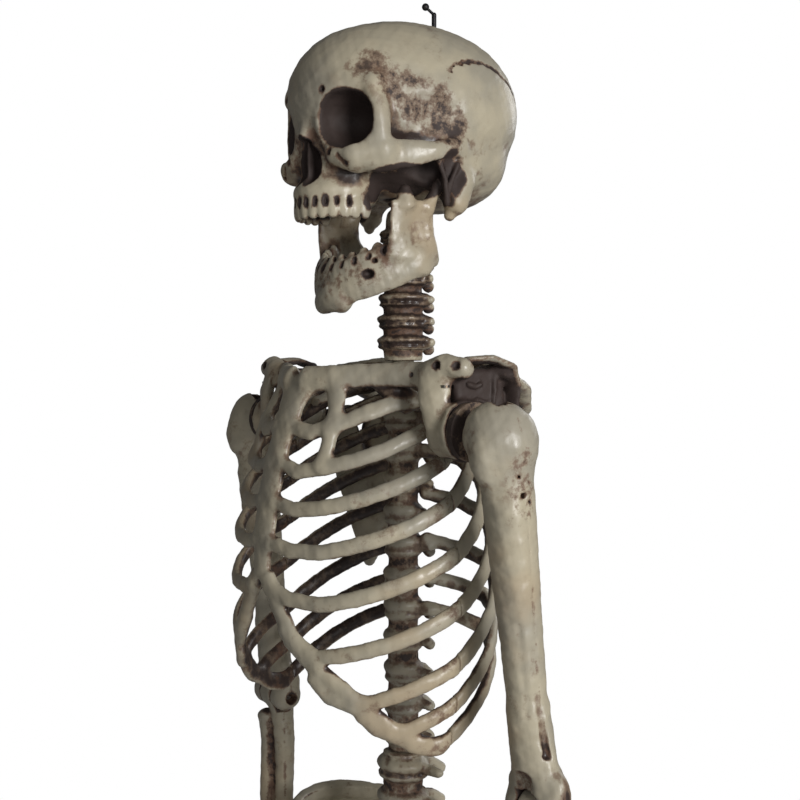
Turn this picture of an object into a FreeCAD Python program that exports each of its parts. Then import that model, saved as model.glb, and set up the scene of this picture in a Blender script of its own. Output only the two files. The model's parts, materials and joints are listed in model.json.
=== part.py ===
import FreeCAD, Part
import os
import re

import Sketcher

# A five-foot posable plastic skeleton that hangs from a hook in its crown.
# Bones are modelled in figure axes: x to the figure's left, y to its back, z up from the soles,
# with the neck's axis at x = y = 0. Limb bones are modelled about their own upper joint instead.
# Every finished piece is then placed so that the row's origin is the hook's seat.

SIZES = {
    "crown_height": 1524,
    "hook_rise": 12,
    "hook_setback": 28,
    "hook_wire": 1.8,
    "hook_arm": 9,
    "wall": 2.5,
    "joint_gap": 0.4,
    "running_gap": 0.05,
    "hinge_pin": 2.5,
    "screw_shank": 1.3,
    "screw_head": 2.8,
    "skull_width": 140,
    "skull_length": 180,
    "skull_rise": 134,
    "skull_wall": 3,
    "face_height": 1433,
    "eye_height": 1454,
    "eye_spread": 32,
    "tooth_height": 1383,
    "base_hole": 24,
    "nod_height": 1382,
    "nod_knuckle": 9,
    "jaw_height": 1399,
    "jaw_spread": 50,
    "jaw_setback": -5,
    "chin_setback": -14,
    "neck_top": 1371,
    "neck_foot": 1283,
    "neck_girth": 20,
    "spindle": 6,
    "cage_height": 1110,
    "cage_setback": -37,
    "cage_width": 236,
    "cage_depth": 170,
    "cage_rise": 380,
    "cage_top": 1266,
    "cage_foot": 996,
    "cage_wall": 5,
    "rib_width": 15,
    "rib_pitch": 29,
    "rib_fall": 35,
    "spine_girth": 16,
    "waist_height": 990,
    "breastbone_foot": 1132,
    "margin_fall": 47,
    "shoulder_height": 1232,
    "shoulder_spread": 155,
    "shoulder_setback": -38,
    "upper_arm": 235,
    "arm_lean": 12,
    "arm_back": 6,
    "forearm": 190,
    "hip_height": 832,
    "hip_spread": 76,
    "hip_setback": -5,
    "thigh": 392,
    "thigh_lean": 4,
    "shin": 368,
    "shin_lean": -4,
    "collar_sweep": 22,
    "lug": 6,
    "limb_pin": 3,
    "hub_spindle": 4,
    "shoulder_ball": 21,
    "hip_ball": 18,
    "elbow_knuckle": 14,
    "elbow_tongue": 8,
    "elbow_cheek": 19,
    "wrist_knuckle": 9,
    "wrist_tongue": 6,
    "wrist_cheek": 15,
    "knee_knuckle": 19,
    "knee_tongue": 11,
    "knee_cheek": 27,
    "ankle_knuckle": 13,
    "ankle_tongue": 8,
    "ankle_cheek": 19,
    "lumbar_foot": 868,
    "lumbar_girth": 21,
    "crest_height": 930,
    "foot_front": 148,
    "foot_back": 50,
}

doc = FreeCAD.newDocument("skeleton_figure")
sheet = doc.addObject("Spreadsheet::Sheet", "Sizes")
for row, (alias, value) in enumerate(SIZES.items(), start=1):
    sheet.set(f"A{row}", alias)
    sheet.set(f"B{row}", str(value))
    sheet.setAlias(f"B{row}", alias)
doc.recompute()

ALIAS = re.compile(r"\b(" + "|".join(sorted(SIZES, key=len, reverse=True)) + r")\b")
nodes = {}


# ---------------------------------------------------------------- building blocks

def on_sheet(formula):
    """A formula whose words are aliases, written the way the document reads it."""
    return ALIAS.sub(r"Sizes.\1", str(formula))


def place(piece, at=(0, 0, 0), axis="1; 0; 0", turn=0):
    x, y, z = (on_sheet(value) for value in at)
    piece.setExpression("Placement",
                        f"placement(vector({x}; {y}; {z}); rotation(vector({axis}); {on_sheet(turn)}))")
    return piece


def solid(kind, name, at=(0, 0, 0), axis="1; 0; 0", turn=0, **sizes):
    """A Part primitive with formulas for its sizes and its place."""
    piece = doc.addObject("Part::" + kind, name)
    for size, formula in sizes.items():
        piece.setExpression(size, on_sheet(formula))
    return place(piece, at, axis, turn)


def ball(name, at, radius):
    return solid("Sphere", name, at, Radius=radius)


def egg(name, at, across, deep, tall):
    """An ellipsoid from its three half sizes: along x, along y and along z."""
    return solid("Ellipsoid", name, at, Radius1=tall, Radius2=across, Radius3=deep, Angle1=-90, Angle2=90,
                 Angle3=360)


def block(name, low, size, axis="1; 0; 0", turn=0):
    """A box from its low corner and its three sizes, turned about that corner."""
    return solid("Box", name, low, axis, turn, Length=size[0], Width=size[1], Height=size[2])


def round_x(name, at, radius, length):
    """A cylinder along +x from a point."""
    return solid("Cylinder", name, at, "0; 1; 0", 90, Radius=radius, Height=length)


def round_y(name, at, radius, length):
    """A cylinder along +y from a point."""
    return solid("Cylinder", name, at, "1; 0; 0", -90, Radius=radius, Height=length)


def round_z(name, at, radius, length):
    """A cylinder along +z from a point."""
    return solid("Cylinder", name, at, Radius=radius, Height=length)


def fuse(name, *pieces):
    joined = doc.addObject("Part::MultiFuse", name)
    joined.Shapes = list(pieces)
    return joined


def cut(name, base, *tools):
    rest = doc.addObject("Part::Cut", name)
    rest.Base = base
    rest.Tool = tools[0] if len(tools) == 1 else fuse(name + "_tools", *tools)
    return rest


def common(name, first, second):
    shared = doc.addObject("Part::Common", name)
    shared.Base = first
    shared.Tool = second
    return shared


def group(name, *pieces):
    """Separate solids that share one node."""
    together = doc.addObject("Part::Compound", name)
    together.Links = list(pieces)
    return together


def mirrored(name, source):
    """The same piece on the figure's right side."""
    piece = doc.addObject("Part::Mirroring", name)
    piece.Source = source
    piece.Normal = (1, 0, 0)
    return piece


def limb(name, sections):
    """A bone of tapered lengths through round sections (x, y, z, radius)."""
    rings = []
    for number, (x, y, z, radius) in enumerate(sections):
        rings.append(solid("Circle", f"{name}_ring{number}", (x, y, z), Radius=radius, Angle1=0,
                           Angle2=360))
    bone = doc.addObject("Part::Loft", name)
    bone.Sections = rings
    bone.Solid = True
    bone.Ruled = True
    return bone


def pin(name, radius, length, along="x"):
    """A PartDesign pin through the origin of its own body, centred on it."""
    body = doc.addObject("PartDesign::Body", name + "_body")
    role = {"x": "YZ_Plane", "y": "XZ_Plane", "z": "XY_Plane"}[along]
    sketch = body.newObject("Sketcher::SketchObject", name + "_outline")
    sketch.AttachmentSupport = [(next(f for f in body.Origin.OriginFeatures if f.Role == role), "")]
    sketch.MapMode = "FlatFace"
    sketch.addGeometry(Part.Circle(FreeCAD.Vector(0, 0, 0), FreeCAD.Vector(0, 0, 1), 1))
    sketch.addConstraint(Sketcher.Constraint("Coincident", 0, 3, -1, 1))
    sketch.renameConstraint(sketch.addConstraint(Sketcher.Constraint("Radius", 0, 1)), "girth")
    sketch.setExpression("Constraints.girth", on_sheet(radius))
    pad = body.newObject("PartDesign::Pad", name + "_length")
    pad.Profile = sketch
    pad.SideType = "Symmetric"
    pad.setExpression("Length", on_sheet(length))
    return body


def turned(name, profile):
    """A PartDesign body turned about z, from its half profile as (radius, height) formulas."""
    body = doc.addObject("PartDesign::Body", name + "_body")
    sketch = body.newObject("Sketcher::SketchObject", name + "_profile")
    sketch.AttachmentSupport = [(next(f for f in body.Origin.OriginFeatures if f.Role == "XZ_Plane"), "")]
    sketch.MapMode = "FlatFace"
    points = [tuple(figure(value) for value in point) for point in profile]
    for number, (radius, height) in enumerate(points):
        following = points[(number + 1) % len(points)]
        sketch.addGeometry(Part.LineSegment(FreeCAD.Vector(radius, height, 0),
                                            FreeCAD.Vector(*following, 0)))
    for number in range(len(points)):
        sketch.addConstraint(Sketcher.Constraint("Coincident", number, 2, (number + 1) % len(points), 1))
    for number, (radius, height) in enumerate(profile):
        for word, kind, formula in (("radius", "DistanceX", radius), ("height", "DistanceY", height)):
            index = sketch.addConstraint(Sketcher.Constraint(kind, -1, 1, number, 1, figure(formula)))
            sketch.renameConstraint(index, f"{word}_{number}")
            if not isinstance(formula, (int, float)):
                sketch.setExpression(f"Constraints.{word}_{number}", on_sheet(formula))
    spin = body.newObject("PartDesign::Revolution", name + "_spin")
    spin.Profile = sketch
    spin.ReferenceAxis = (sketch, ["V_Axis"])
    spin.Angle = 360
    return body


def figure(formula):
    """A formula's present value, for a sketch's first points."""
    return float(formula) if isinstance(formula,
                                        (int, float)) else float(sheet.evalExpression(on_sheet(formula)))


def keep(node, piece, at=(0, 0, 0), axis="1; 0; 0", turn=0):
    """Names a finished piece as a node and puts it in the row's frame."""
    x, y, z = at
    place(piece, (x, f"{y} - hook_setback", f"{z} - crown_height - hook_rise"), axis, turn)
    piece.Label = node
    nodes[node] = piece


# ---------------------------------------------------------------- hinges shared by the limbs

def hinge_fork(name, x, z, knuckle, half, tongue, front, back):
    """The fork of a hinge about x at (x, 0, z): its solid and what is cut from the bone for the tongue.

    front and back say how far above the pin the slot is open, in knuckle radii.
    """
    solid_part = fuse(
        name + "_fork",
        round_x(name + "_cheek", (f"{x} - {half}", 0, z), knuckle, f"2 * {half}"),
        block(name + "_neck", (f"{x} - {half}", f"-{knuckle}", z),
              (f"2 * {half}", f"2 * {knuckle}", f"1.9 * {knuckle}")),
    )
    low = f"{x} - {tongue} - joint_gap"
    wide = f"2 * ({tongue} + joint_gap)"
    slot = fuse(
        name + "_slot",
        round_x(name + "_round", (low, 0, z), f"{knuckle} + joint_gap", wide),
        block(name + "_open_front", (low, f"-1.3 * {knuckle}", f"{z} - 1.3 * {knuckle}"),
              (wide, f"1.3 * {knuckle}", f"(1.3 + {front}) * {knuckle}")),
        block(name + "_open_back", (low, 0, f"{z} - 1.3 * {knuckle}"),
              (wide, f"1.3 * {knuckle}", f"(1.3 + {back}) * {knuckle}")),
        round_x(name + "_hole", (f"{x} - {half} - 1", 0, z), "hinge_pin", f"2 * {half} + 2"),
    )
    return solid_part, slot


def hinge_tongue(name, knuckle, tongue):
    """The tongue of a hinge about x at the origin, and the running hole through it."""
    solid_part = fuse(
        name + "_tongue",
        round_x(name + "_eye", (f"-{tongue}", 0, 0), knuckle, f"2 * {tongue}"),
        block(name + "_stalk", (f"-{tongue}", f"-0.8 * {knuckle}", f"-2.2 * {knuckle}"),
              (f"2 * {tongue}", f"1.6 * {knuckle}", f"2.2 * {knuckle}")),
    )
    hole = round_x(name + "_run", (f"-{tongue} - 1", 0, 0), "hinge_pin + running_gap", f"2 * {tongue} + 2")
    return solid_part, hole


def two_halves(part, side, bone, hollow, seat, screws_at):
    """Splits a hollow bone into its front and rear halves, with posts and screws across the seam."""
    shell = cut(f"{part}_{side}_shell", bone, hollow)
    posts = [round_y(f"{part}_{side}_post{number}", (x, -depth - 3, z), 4, 2 * depth + 6)
             for number, (x, z, depth) in enumerate(screws_at)]
    filled = fuse(f"{part}_{side}_filled", shell, *posts)
    holes, screws = [], []
    for number, (x, z, depth) in enumerate(screws_at):
        shank = round_y(f"{part}_{side}_shank{number}", (x, -6, z), "screw_shank", f"{depth} + 6")
        head = round_y(f"{part}_{side}_head{number}", (x, depth, z), "screw_head", 2)
        recess = round_y(f"{part}_{side}_recess{number}", (x, depth, z), "screw_head", 20)
        screws.append(fuse(f"{part}_{side}_screw{number}", shank, head))
        holes += [round_y(f"{part}_{side}_hole{number}", (x, -6, z), "screw_shank", f"{depth} + 6"), recess]
    bored = cut(f"{part}_{side}_bored", filled, *holes)
    rear_space = block(f"{part}_{side}_rear_space", (-100, 0, -450), (200, 100, 550))
    front = cut(f"{part}_{side}_front", bored, rear_space)
    rear = common(f"{part}_{side}_rear", bored, rear_space)
    screw_set = group(f"{part}_{side}_screw_set", *screws)
    for word, piece in (("front", front), ("rear", rear), ("screws", screw_set)):
        keep(f"{part}_{word}_{side}", piece, *seat)


# ---------------------------------------------------------------- head

def build_skull():
    centre = (0, -2, "crown_height - skull_rise / 2")
    outer = fuse(
        "skull_outer",
        egg("cranium", centre, "skull_width / 2", "skull_length / 2", "skull_rise / 2"),
        cut("face", egg("face_mass", (0, -48, "face_height"), 46, 40, 58),
            block("below_teeth", (-60, -100, "tooth_height - 60"), (120, 120, 60))),
        egg("cheek_left", (50, -42, "face_height - 9"), 14, 22, 11),
        egg("cheek_right", (-50, -42, "face_height - 9"), 14, 22, 11),
        round_y("arch_left", (60, -44, "face_height - 2"), 4.5, 50),
        round_y("arch_right", (-60, -44, "face_height - 2"), 4.5, 50),
    )
    cavity = egg("cavity", centre, "skull_width / 2 - skull_wall", "skull_length / 2 - skull_wall",
                 "skull_rise / 2 - skull_wall")
    linings, sockets = [], []
    for side, sign in (("left", 1), ("right", -1)):
        eye = (f"{sign} * eye_spread", -80, "eye_height")
        linings.append(egg(f"eye_lining_{side}", eye, "20 + skull_wall", "24 + skull_wall",
                           "18 + skull_wall"))
        sockets.append(egg(f"eye_socket_{side}", eye, 20, 24, 18))
    nose = (0, -94, "face_height - 6")
    linings.append(egg("nose_lining", nose, "11 + skull_wall", "16 + skull_wall", "17 + skull_wall"))
    shell = cut("skull_hollow", outer, cavity)
    bosses = [
        round_x("jaw_boss_left", ("jaw_spread - 14", "jaw_setback", "jaw_height"), 5, 7.4),
        round_x("jaw_boss_right", ("6.6 - jaw_spread", "jaw_setback", "jaw_height"), 5, 7.4),
    ]
    lined = fuse("skull_lined", shell, common("linings", fuse("lining_set", *linings), outer), *bosses)
    bores = [
        round_x("jaw_bore_left", ("jaw_spread - 12", "jaw_setback", "jaw_height"), "screw_shank", 10),
        round_x("jaw_bore_right", ("2 - jaw_spread", "jaw_setback", "jaw_height"), "screw_shank", 10),
        round_z("base_opening", (0, 0, "crown_height - skull_rise - 8"), "base_hole", 20),
        round_z("hook_bore", (0, "hook_setback", "crown_height - 20"), "hook_wire", 30),
    ]
    skull = cut("skull", lined, *sockets, egg("nose_opening", nose, 11, 16, 17),
                egg("palate", (0, -44, "tooth_height"), 17, 22, 12), *bores)
    keep("skull_shell", skull)

    ears = [
        block("ear_left", (8.4, -9, "nod_height"), (6, 18, "crown_height - skull_rise + 4 - nod_height")),
        block("ear_right", (-14.4, -9, "nod_height"),
              (6, 18, "crown_height - skull_rise + 4 - nod_height")),
        round_x("ear_round_left", (8.4, 0, "nod_height"), "nod_knuckle", 6),
        round_x("ear_round_right", (-14.4, 0, "nod_height"), "nod_knuckle", 6),
        round_z("base_plug", (0, 0, "crown_height - skull_rise + 4"), "base_hole", 5),
    ]
    base = cut("base", fuse("base_solid", *ears), round_x("nod_bore", (-16, 0, "nod_height"), "hinge_pin",
                                                          32))
    keep("skull_base", base)


def build_hook():
    """A wire screw hook: a stem through the crown, an arm bent to the front and a ball at its tip."""
    stem_top = "crown_height + hook_rise - hook_wire"
    stem = round_z("hook_stem", (0, "hook_setback", "crown_height - 24"), "hook_wire",
                   "hook_rise + 24 - hook_wire")
    bend = ball("hook_bend", (0, "hook_setback", stem_top), "hook_wire")
    arm = solid("Cylinder", "hook_front_arm", (0, "hook_setback", stem_top), "1; 0; 0", 60,
                Radius="hook_wire * 0.6", Height="hook_arm")
    tip = ball("hook_tip", (0, "hook_setback - hook_arm * 0.866", stem_top + " + hook_arm * 0.5"),
               "hook_wire * 1.5")
    keep("hanging_hook", fuse("hook", stem, bend, arm, tip))
    nut = cut("hook_nut_ring", round_z("hook_nut_round", (0, "hook_setback", "crown_height - 18"), 4, 3.5),
              round_z("hook_nut_hole", (0, "hook_setback", "crown_height - 19"), "hook_wire", 6))
    washer = cut("hook_washer_ring", round_z("hook_washer_round",
                                             (0, "hook_setback", "crown_height - 14.5"), 6.5, 1),
                 round_z("hook_washer_hole", (0, "hook_setback", "crown_height - 16"), "hook_wire", 4))
    keep("hook_fasteners", group("hook_nut_and_washer", nut, washer))


def build_jaw():
    """The open lower jaw: a horseshoe that slopes down to the chin, with two branches to its pivots."""
    outer = egg("jaw_outer", (0, "chin_setback", 1340), 50, 60, 90)
    inner = egg("jaw_inner", (0, "chin_setback", 1340), 41, 49, 88)
    ring = cut("jaw_ring", outer, inner)
    slab = block("jaw_slab", (-60, -92, 1303), (120, 92, 38), turn=28)
    arch = common("jaw_arch", ring, slab)
    branches, bores = [], []
    for side, sign in (("left", 1), ("right", -1)):
        x = f"{sign} * (jaw_spread - 3) - 3.2"
        branches.append(block(f"branch_{side}", (x, "jaw_setback - 16", 1344),
                              (6.4, 23, "jaw_height - 1346")))
        branches.append(round_x(f"condyle_{side}", (x, "jaw_setback", "jaw_height"), 5, 6.4))
        bores.append(round_x(f"condyle_bore_{side}", (f"{x} - 1", "jaw_setback", "jaw_height"),
                             "screw_shank + running_gap", 8.4))
    keep("mandible", cut("jaw", fuse("jaw_solid", arch, *branches), *bores))
    screws = []
    for side, sign in (("left", 1), ("right", -1)):
        inside, outside = (("jaw_spread - 12", "jaw_spread + 0.8") if sign > 0
                           else ("-jaw_spread - 0.8", "-jaw_spread - 2.8"))
        shank = round_x(f"jaw_screw_shank_{side}", (inside, "jaw_setback", "jaw_height"), "screw_shank",
                        12.8)
        head = round_x(f"jaw_screw_head_{side}", (outside, "jaw_setback", "jaw_height"), "screw_head", 2)
        screws.append(fuse(f"jaw_screw_{side}", shank, head))
    keep("jaw_pivot_screws", group("jaw_screw_set", *screws))


def build_neck():
    """Moulded neck bones on a spindle that turns in the rib shell, with the nod tongue on top."""
    bones = 5
    profile = [(0, "neck_foot - 28"), ("spindle", "neck_foot - 28"), ("spindle", "neck_foot")]
    for bone in range(bones):
        low = f"neck_foot + (neck_top - neck_foot) * {bone} / {bones}"
        step = f"(neck_top - neck_foot) / {bones}"
        profile += [("neck_girth - 4", f"{low} + {step} * 0.02"), ("neck_girth", f"{low} + {step} * 0.3"),
                    ("neck_girth", f"{low} + {step} * 0.7"), ("neck_girth - 4", f"{low} + {step} * 0.97")]
    profile.append((0, "neck_top"))
    column = turned("neck_column", profile)
    eye = round_x("nod_eye", (-8, 0, "nod_height"), "nod_knuckle", 16)
    stalk = block("nod_stalk", (-8, "-0.8 * nod_knuckle", "neck_top - 3"),
                  (16, "1.6 * nod_knuckle", "nod_height - neck_top + 3"))
    hole = round_x("nod_run", (-9, 0, "nod_height"), "hinge_pin + running_gap", 18)
    keep("cervical_column", cut("neck", fuse("neck_solid", column, eye, stalk), hole))
    keep("nod_pin", pin("nod", "hinge_pin", 28.8), (0, 0, "nod_height"))


# ---------------------------------------------------------------- trunk

def cage_egg(name, offset):
    return egg(name, (0, "cage_setback", "cage_height"), f"cage_width / 2 + {offset}",
               f"cage_depth / 2 + {offset}",
               f"cage_rise / 2 + {offset}")


def rib_bands(name, first, count):
    """Slabs that fall towards the front; what they share with the cage's wall is the ribs."""
    bands = []
    for number in range(first, first + count):
        drop = f"cage_top - 6 - {number} * rib_pitch + (cage_depth / 2) * 0.7"
        bands.append(block(f"{name}_band{number}", (-150, "cage_setback + cage_depth / 2 + 10", drop),
                           (300, 230, "rib_width"), turn="180 + rib_fall"))
    return fuse(name + "_bands", *bands)


def build_rear_shell():
    wall = cut("rear_wall", cage_egg("rear_outer", 0), cage_egg("rear_inner", "-cage_wall"))
    height = block("rear_height", (-150, "cage_setback", "cage_foot"), (300, 150, "cage_top - cage_foot"))
    ribs = common("rear_ribs", common("rear_part", wall, height), rib_bands("rear", 0, 11))
    web = common("spine_web", block("spine_web_plate", (-4, 8, "cage_foot + 4"),
                                    (8, 60, "cage_top - cage_foot - 10")),
                 cage_egg("web_limit", 0))
    bones = 12
    step = f"(cage_top - waist_height - 1) / {bones}"
    profile = [(0, "waist_height + 1")]
    for bone in range(bones):
        low = f"waist_height + 1 + {step} * {bone}"
        profile += [("spine_girth - 2", f"{low}"), ("spine_girth", f"{low} + {step} * 0.3"),
                    ("spine_girth", f"{low} + {step} * 0.7")]
    profile += [("spine_girth - 2", "cage_top"), (11, "neck_foot - 0.6"), (0, "neck_foot - 0.6")]
    column = turned("thoracic_column", profile)
    bores = [
        round_z("neck_bore", (0, 0, "neck_foot - 29"), "spindle + running_gap", 40),
        round_z("waist_bore", (0, 0, "waist_height - 10"), "spindle + running_gap", 37),
    ]
    keep("rear_rib_shell", cut("rear_shell", fuse("rear_solid", ribs, web, column), *bores))


def build_front_shell():
    """The breastbone, the front ribs, the sloping margin under them and the two collar bars."""
    wall = cut("front_wall", cage_egg("front_outer", 0), cage_egg("front_inner", "-cage_wall"))
    height = block("front_height", (-150, "cage_setback - 150", "cage_foot"),
                   (300, 150, "cage_top - cage_foot"))
    front_wall = common("front_part", wall, height)
    below = block("below_margin", ("-200 * sin(margin_fall)", -150,
                                   "breastbone_foot - 200 * cos(margin_fall)"),
                  (260, 120, 200), "0; 1; 0", "margin_fall")
    margin = block("margin", (0, -150, "breastbone_foot"), (170, 120, "rib_width"), "0; 1; 0",
                   "margin_fall")
    breastbone = block("breastbone", (-14, -150, "breastbone_foot - 4"),
                       (28, 110, "cage_top - breastbone_foot + 4"))
    collar = block("collar_bar", (0, -88, "cage_top - 12"), (105, 8, 16), "0; 0; 1", "collar_sweep")
    bands = common("front_bands_part", front_wall, rib_bands("front", 0, 9))
    ribs = cut("front_ribs", bands, below, mirrored("below_margin_right", below))
    plates = common("front_plates", front_wall,
                    fuse("front_plate_set", breastbone, margin, mirrored("margin_right", margin)))
    keep("front_rib_shell", fuse("front_shell", ribs, plates, collar, mirrored("collar_bar_right", collar)))


def build_scapula(side, sign):
    """A shoulder blade: a plate over the rear ribs, the shoulder roof and the socket for the hub."""
    name = f"scapula_{side}"
    skin = cut(f"{name}_skin", cage_egg(f"{name}_outer", 7.5), cage_egg(f"{name}_inner", "3.5"))
    window = block(f"{name}_window", (f"{sign} * 84 - 26", "cage_setback + 20", 1126), (52, 90, 128))
    plate = common(f"{name}_plate", skin, window)
    reach = f"{sign} * 119 - 9"
    socket = round_x(f"{name}_socket", (reach, "shoulder_setback", "shoulder_height"), 20, 18)
    bridge = block(f"{name}_bridge", (f"{sign} * 105 - 9", "shoulder_setback + 4", "shoulder_height - 6"),
                   (18, 46, 34))
    roof = block(f"{name}_roof", (f"{sign} * 119.5 - 19.5", "shoulder_setback - 20",
                                  "shoulder_height + 21"), (39, 48, 7))
    apron = block(f"{name}_apron", (f"{sign} * 119 - 9", "shoulder_setback - 20", "shoulder_height"),
                  (18, 40, 24))
    bore = round_x(f"{name}_bore", (f"{sign} * 119 - 12", "shoulder_setback", "shoulder_height"),
                   "hub_spindle + running_gap", 24)
    keep(name, cut(f"{name}_done", fuse(f"{name}_solid", plate, socket, bridge, roof, apron), bore))


def build_collar_screws():
    screws = []
    for side, sign in (("left", 1), ("right", -1)):
        for number, spread in enumerate((106, 118)):
            seat = (f"{sign} * {spread}", "shoulder_setback - 12", "shoulder_height + 28")
            screws.append(round_z(f"collar_screw_{side}_{number}", seat, "screw_head", 1.6))
    keep("shoulder_roof_screws", group("collar_screws", *screws))


def build_lumbar():
    """Moulded loin bones that stand on the pelvis, with the waist's spindle on top."""
    bones = 5
    waist = "lumbar_girth - 4"
    profile = [(0, "lumbar_foot")]
    for bone in range(bones):
        step = f"(waist_height - lumbar_foot) / {bones}"
        low = f"lumbar_foot + {step} * {bone}"
        profile += [(waist, low), ("lumbar_girth", f"{low} + {step} * 0.3"),
                    ("lumbar_girth", f"{low} + {step} * 0.7")]
    profile += [(waist, "waist_height"), ("spindle", "waist_height"), ("spindle", "waist_height + 24"),
                (0, "waist_height + 24")]
    wings = block("lumbar_wings", (-34, 0, "waist_height - 30"), (68, 10, 9))
    keep("lumbar_column", fuse("lumbar_solid", turned("lumbar", profile), wings))


def build_pelvis():
    """Hip wings as a cut bowl, the sacrum under the lumbar column, hip sockets and the two sitting loops."""
    centre = (0, "hip_setback", "hip_height + 70")
    outer = egg("basin_outer", centre, 122, 70, 92)
    inner = egg("basin_inner", centre, 116, 64, 86)
    bowl = cut("basin_wall", outer, inner)
    zone = block("basin_zone", (-130, -80, "hip_height - 2"), (260, 150, "crest_height - hip_height + 2"))
    front_gap = egg("basin_front_gap", (0, -74, "crest_height + 4"), 92, 52, 84)
    rear_gap = block("basin_rear_gap", (-24, 20, "hip_height + 36"), (48, 60, 100))
    swing = [ball(f"hip_swing_space_{side}", (f"{sign} * hip_spread", "hip_setback", "hip_height"), 37)
             for side, sign in (("left", 1), ("right", -1))]
    wings = cut("hip_wings", common("basin_part", bowl, zone), front_gap, rear_gap, *swing)
    sacrum = block("sacrum", (-26, 22, "hip_height + 2"), (52, 24, 66))
    seat = block("lumbar_seat", (-20, -10, "hip_height + 20"), (40, 50, 15.5))
    loops, bores = [], []
    for side, sign in (("left", 1), ("right", -1)):
        loops.append(round_x(f"hip_block_{side}", (f"{sign} * 39 - 12.5", "hip_setback", "hip_height"), 18,
                             25))
        loops.append(block(f"hip_strut_{side}", (f"{sign} * 34 - 8", -18, "hip_height"), (16, 48, 22)))
        loops.append(solid("Torus", f"sitting_loop_{side}", (f"{sign} * 36", "hip_setback - 14",
                                                             "hip_height - 40"),
                           "1; 0; 0", 65, Radius1=22, Radius2=6.5))
        bores.append(round_x(f"hip_bore_{side}", (f"{sign} * 46 - 12", "hip_setback", "hip_height"),
                             "hub_spindle + running_gap", 24))
    bridge = block("pubic_bridge", (-16, "hip_setback - 26", "hip_height - 46"), (32, 16, 26))
    keep("pelvis", cut("pelvis_done", fuse("pelvis_solid", wings, sacrum, seat, bridge, *loops), *bores))


# ---------------------------------------------------------------- limbs

def build_hub(name, side, sign, seat, disc, reach):
    """A joint hub: a spindle turns in the trunk about x, and a lug carries the limb's pin about y.

    reach is how far inboard of the limb's own centre the disc's inner face lies.
    """
    thick, depth = 5, 11
    inner = f"-{reach}" if sign > 0 else f"{reach} - {thick}"
    spindle = f"-{reach} - {depth}" if sign > 0 else f"{reach}"
    arm = f"{thick} - {reach}" if sign > 0 else "0"
    pieces = [
        round_x(f"{name}_disc", (inner, 0, 0), disc, thick),
        round_x(f"{name}_spindle", (spindle, 0, 0), "hub_spindle", depth),
        block(f"{name}_lug", (arm, "-lug", -8), (f"{reach} - {thick}", "2 * lug", 16)),
        round_y(f"{name}_eye", (0, "-lug", 0), 8, "2 * lug"),
    ]
    run = round_y(f"{name}_run", (0, "-lug - 1", 0), "limb_pin + running_gap", "2 * lug + 2")
    keep(f"{name.rsplit('_', 1)[0]}_hub_{side}", cut(f"{name}_done", fuse(f"{name}_solid", *pieces), run),
         *seat)


def ball_end(name, radius, sign):
    """A limb's round head and the slot in it that lets the hub's lug swing from the inner side to the top."""
    head = ball(f"{name}_head", (0, 0, 0), radius)
    wide = "2 * (lug + joint_gap)"
    front = "-lug - joint_gap"
    inward = "-40" if sign > 0 else "-(8 + joint_gap)"
    slot = fuse(
        f"{name}_head_slot",
        block(f"{name}_slot", (inward, front, 0), ("48 + joint_gap", wide, 40)),
        block(f"{name}_slot_side", ("-40" if sign > 0 else "0", front, "-8 - joint_gap"),
              (40, wide, "8 + joint_gap + 1")),
        round_y(f"{name}_slot_round", (0, front, 0), "8 + joint_gap", wide),
        round_y(f"{name}_pin_hole", (0, -40, 0), "limb_pin", 80),
    )
    return head, slot


def build_upper_arm(side, sign):
    seat = ((f"{sign} * shoulder_spread", "shoulder_setback", "shoulder_height"), "1; 0; 0", "arm_back")
    name = f"humerus_{side}"
    head, head_slot = ball_end(name, "shoulder_ball", sign)
    lean = f"{sign} * arm_lean"
    shaft = [(f"{sign} * 2", 0, -6, 19), (f"{sign} * 4", 0, -40, 15.5), (f"{lean} * 0.7", 0, -120, 13.5),
             (f"{lean}", 0, "-upper_arm + 45", 14.5), (lean, 0, "-upper_arm + 22", 16)]
    bone = limb(f"{name}_shaft", shaft)
    fork, fork_slot = hinge_fork(f"elbow_{side}", f"({lean})", "-upper_arm", "elbow_knuckle", "elbow_cheek",
                                 "elbow_tongue", 1.85, 0.1)
    hollow = limb(f"{name}_hollow", [(f"{sign} * 4", 0, -40, "15.5 - wall"),
                                     (f"{lean} * 0.7", 0, -120, "13.5 - wall"),
                                     (lean, 0, "-upper_arm + 48", "14.5 - wall")])
    whole = cut(f"{name}_whole", fuse(f"{name}_solid", bone, head, fork), head_slot, fork_slot)
    screws_at = [(f"{lean} * 0.5", "-upper_arm * 0.34", 10), (f"{lean} * 0.9", "-upper_arm * 0.68", 9.5)]
    two_halves("humerus", side, whole, hollow, seat, screws_at)
    build_hub(f"shoulder_{side}", side, sign, seat, 19, 27)
    keep(f"shoulder_pin_{side}", pin(f"shoulder_{side}_pin", "limb_pin", 38, "y"), *seat)
    elbow = elbow_seat(sign)
    keep(f"elbow_pin_{side}", pin(f"elbow_{side}_pin", "hinge_pin", 38), elbow)


def elbow_seat(sign):
    return (f"{sign} * (shoulder_spread + arm_lean)", "shoulder_setback + upper_arm * sin(arm_back)",
            "shoulder_height - upper_arm * cos(arm_back)")


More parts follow.
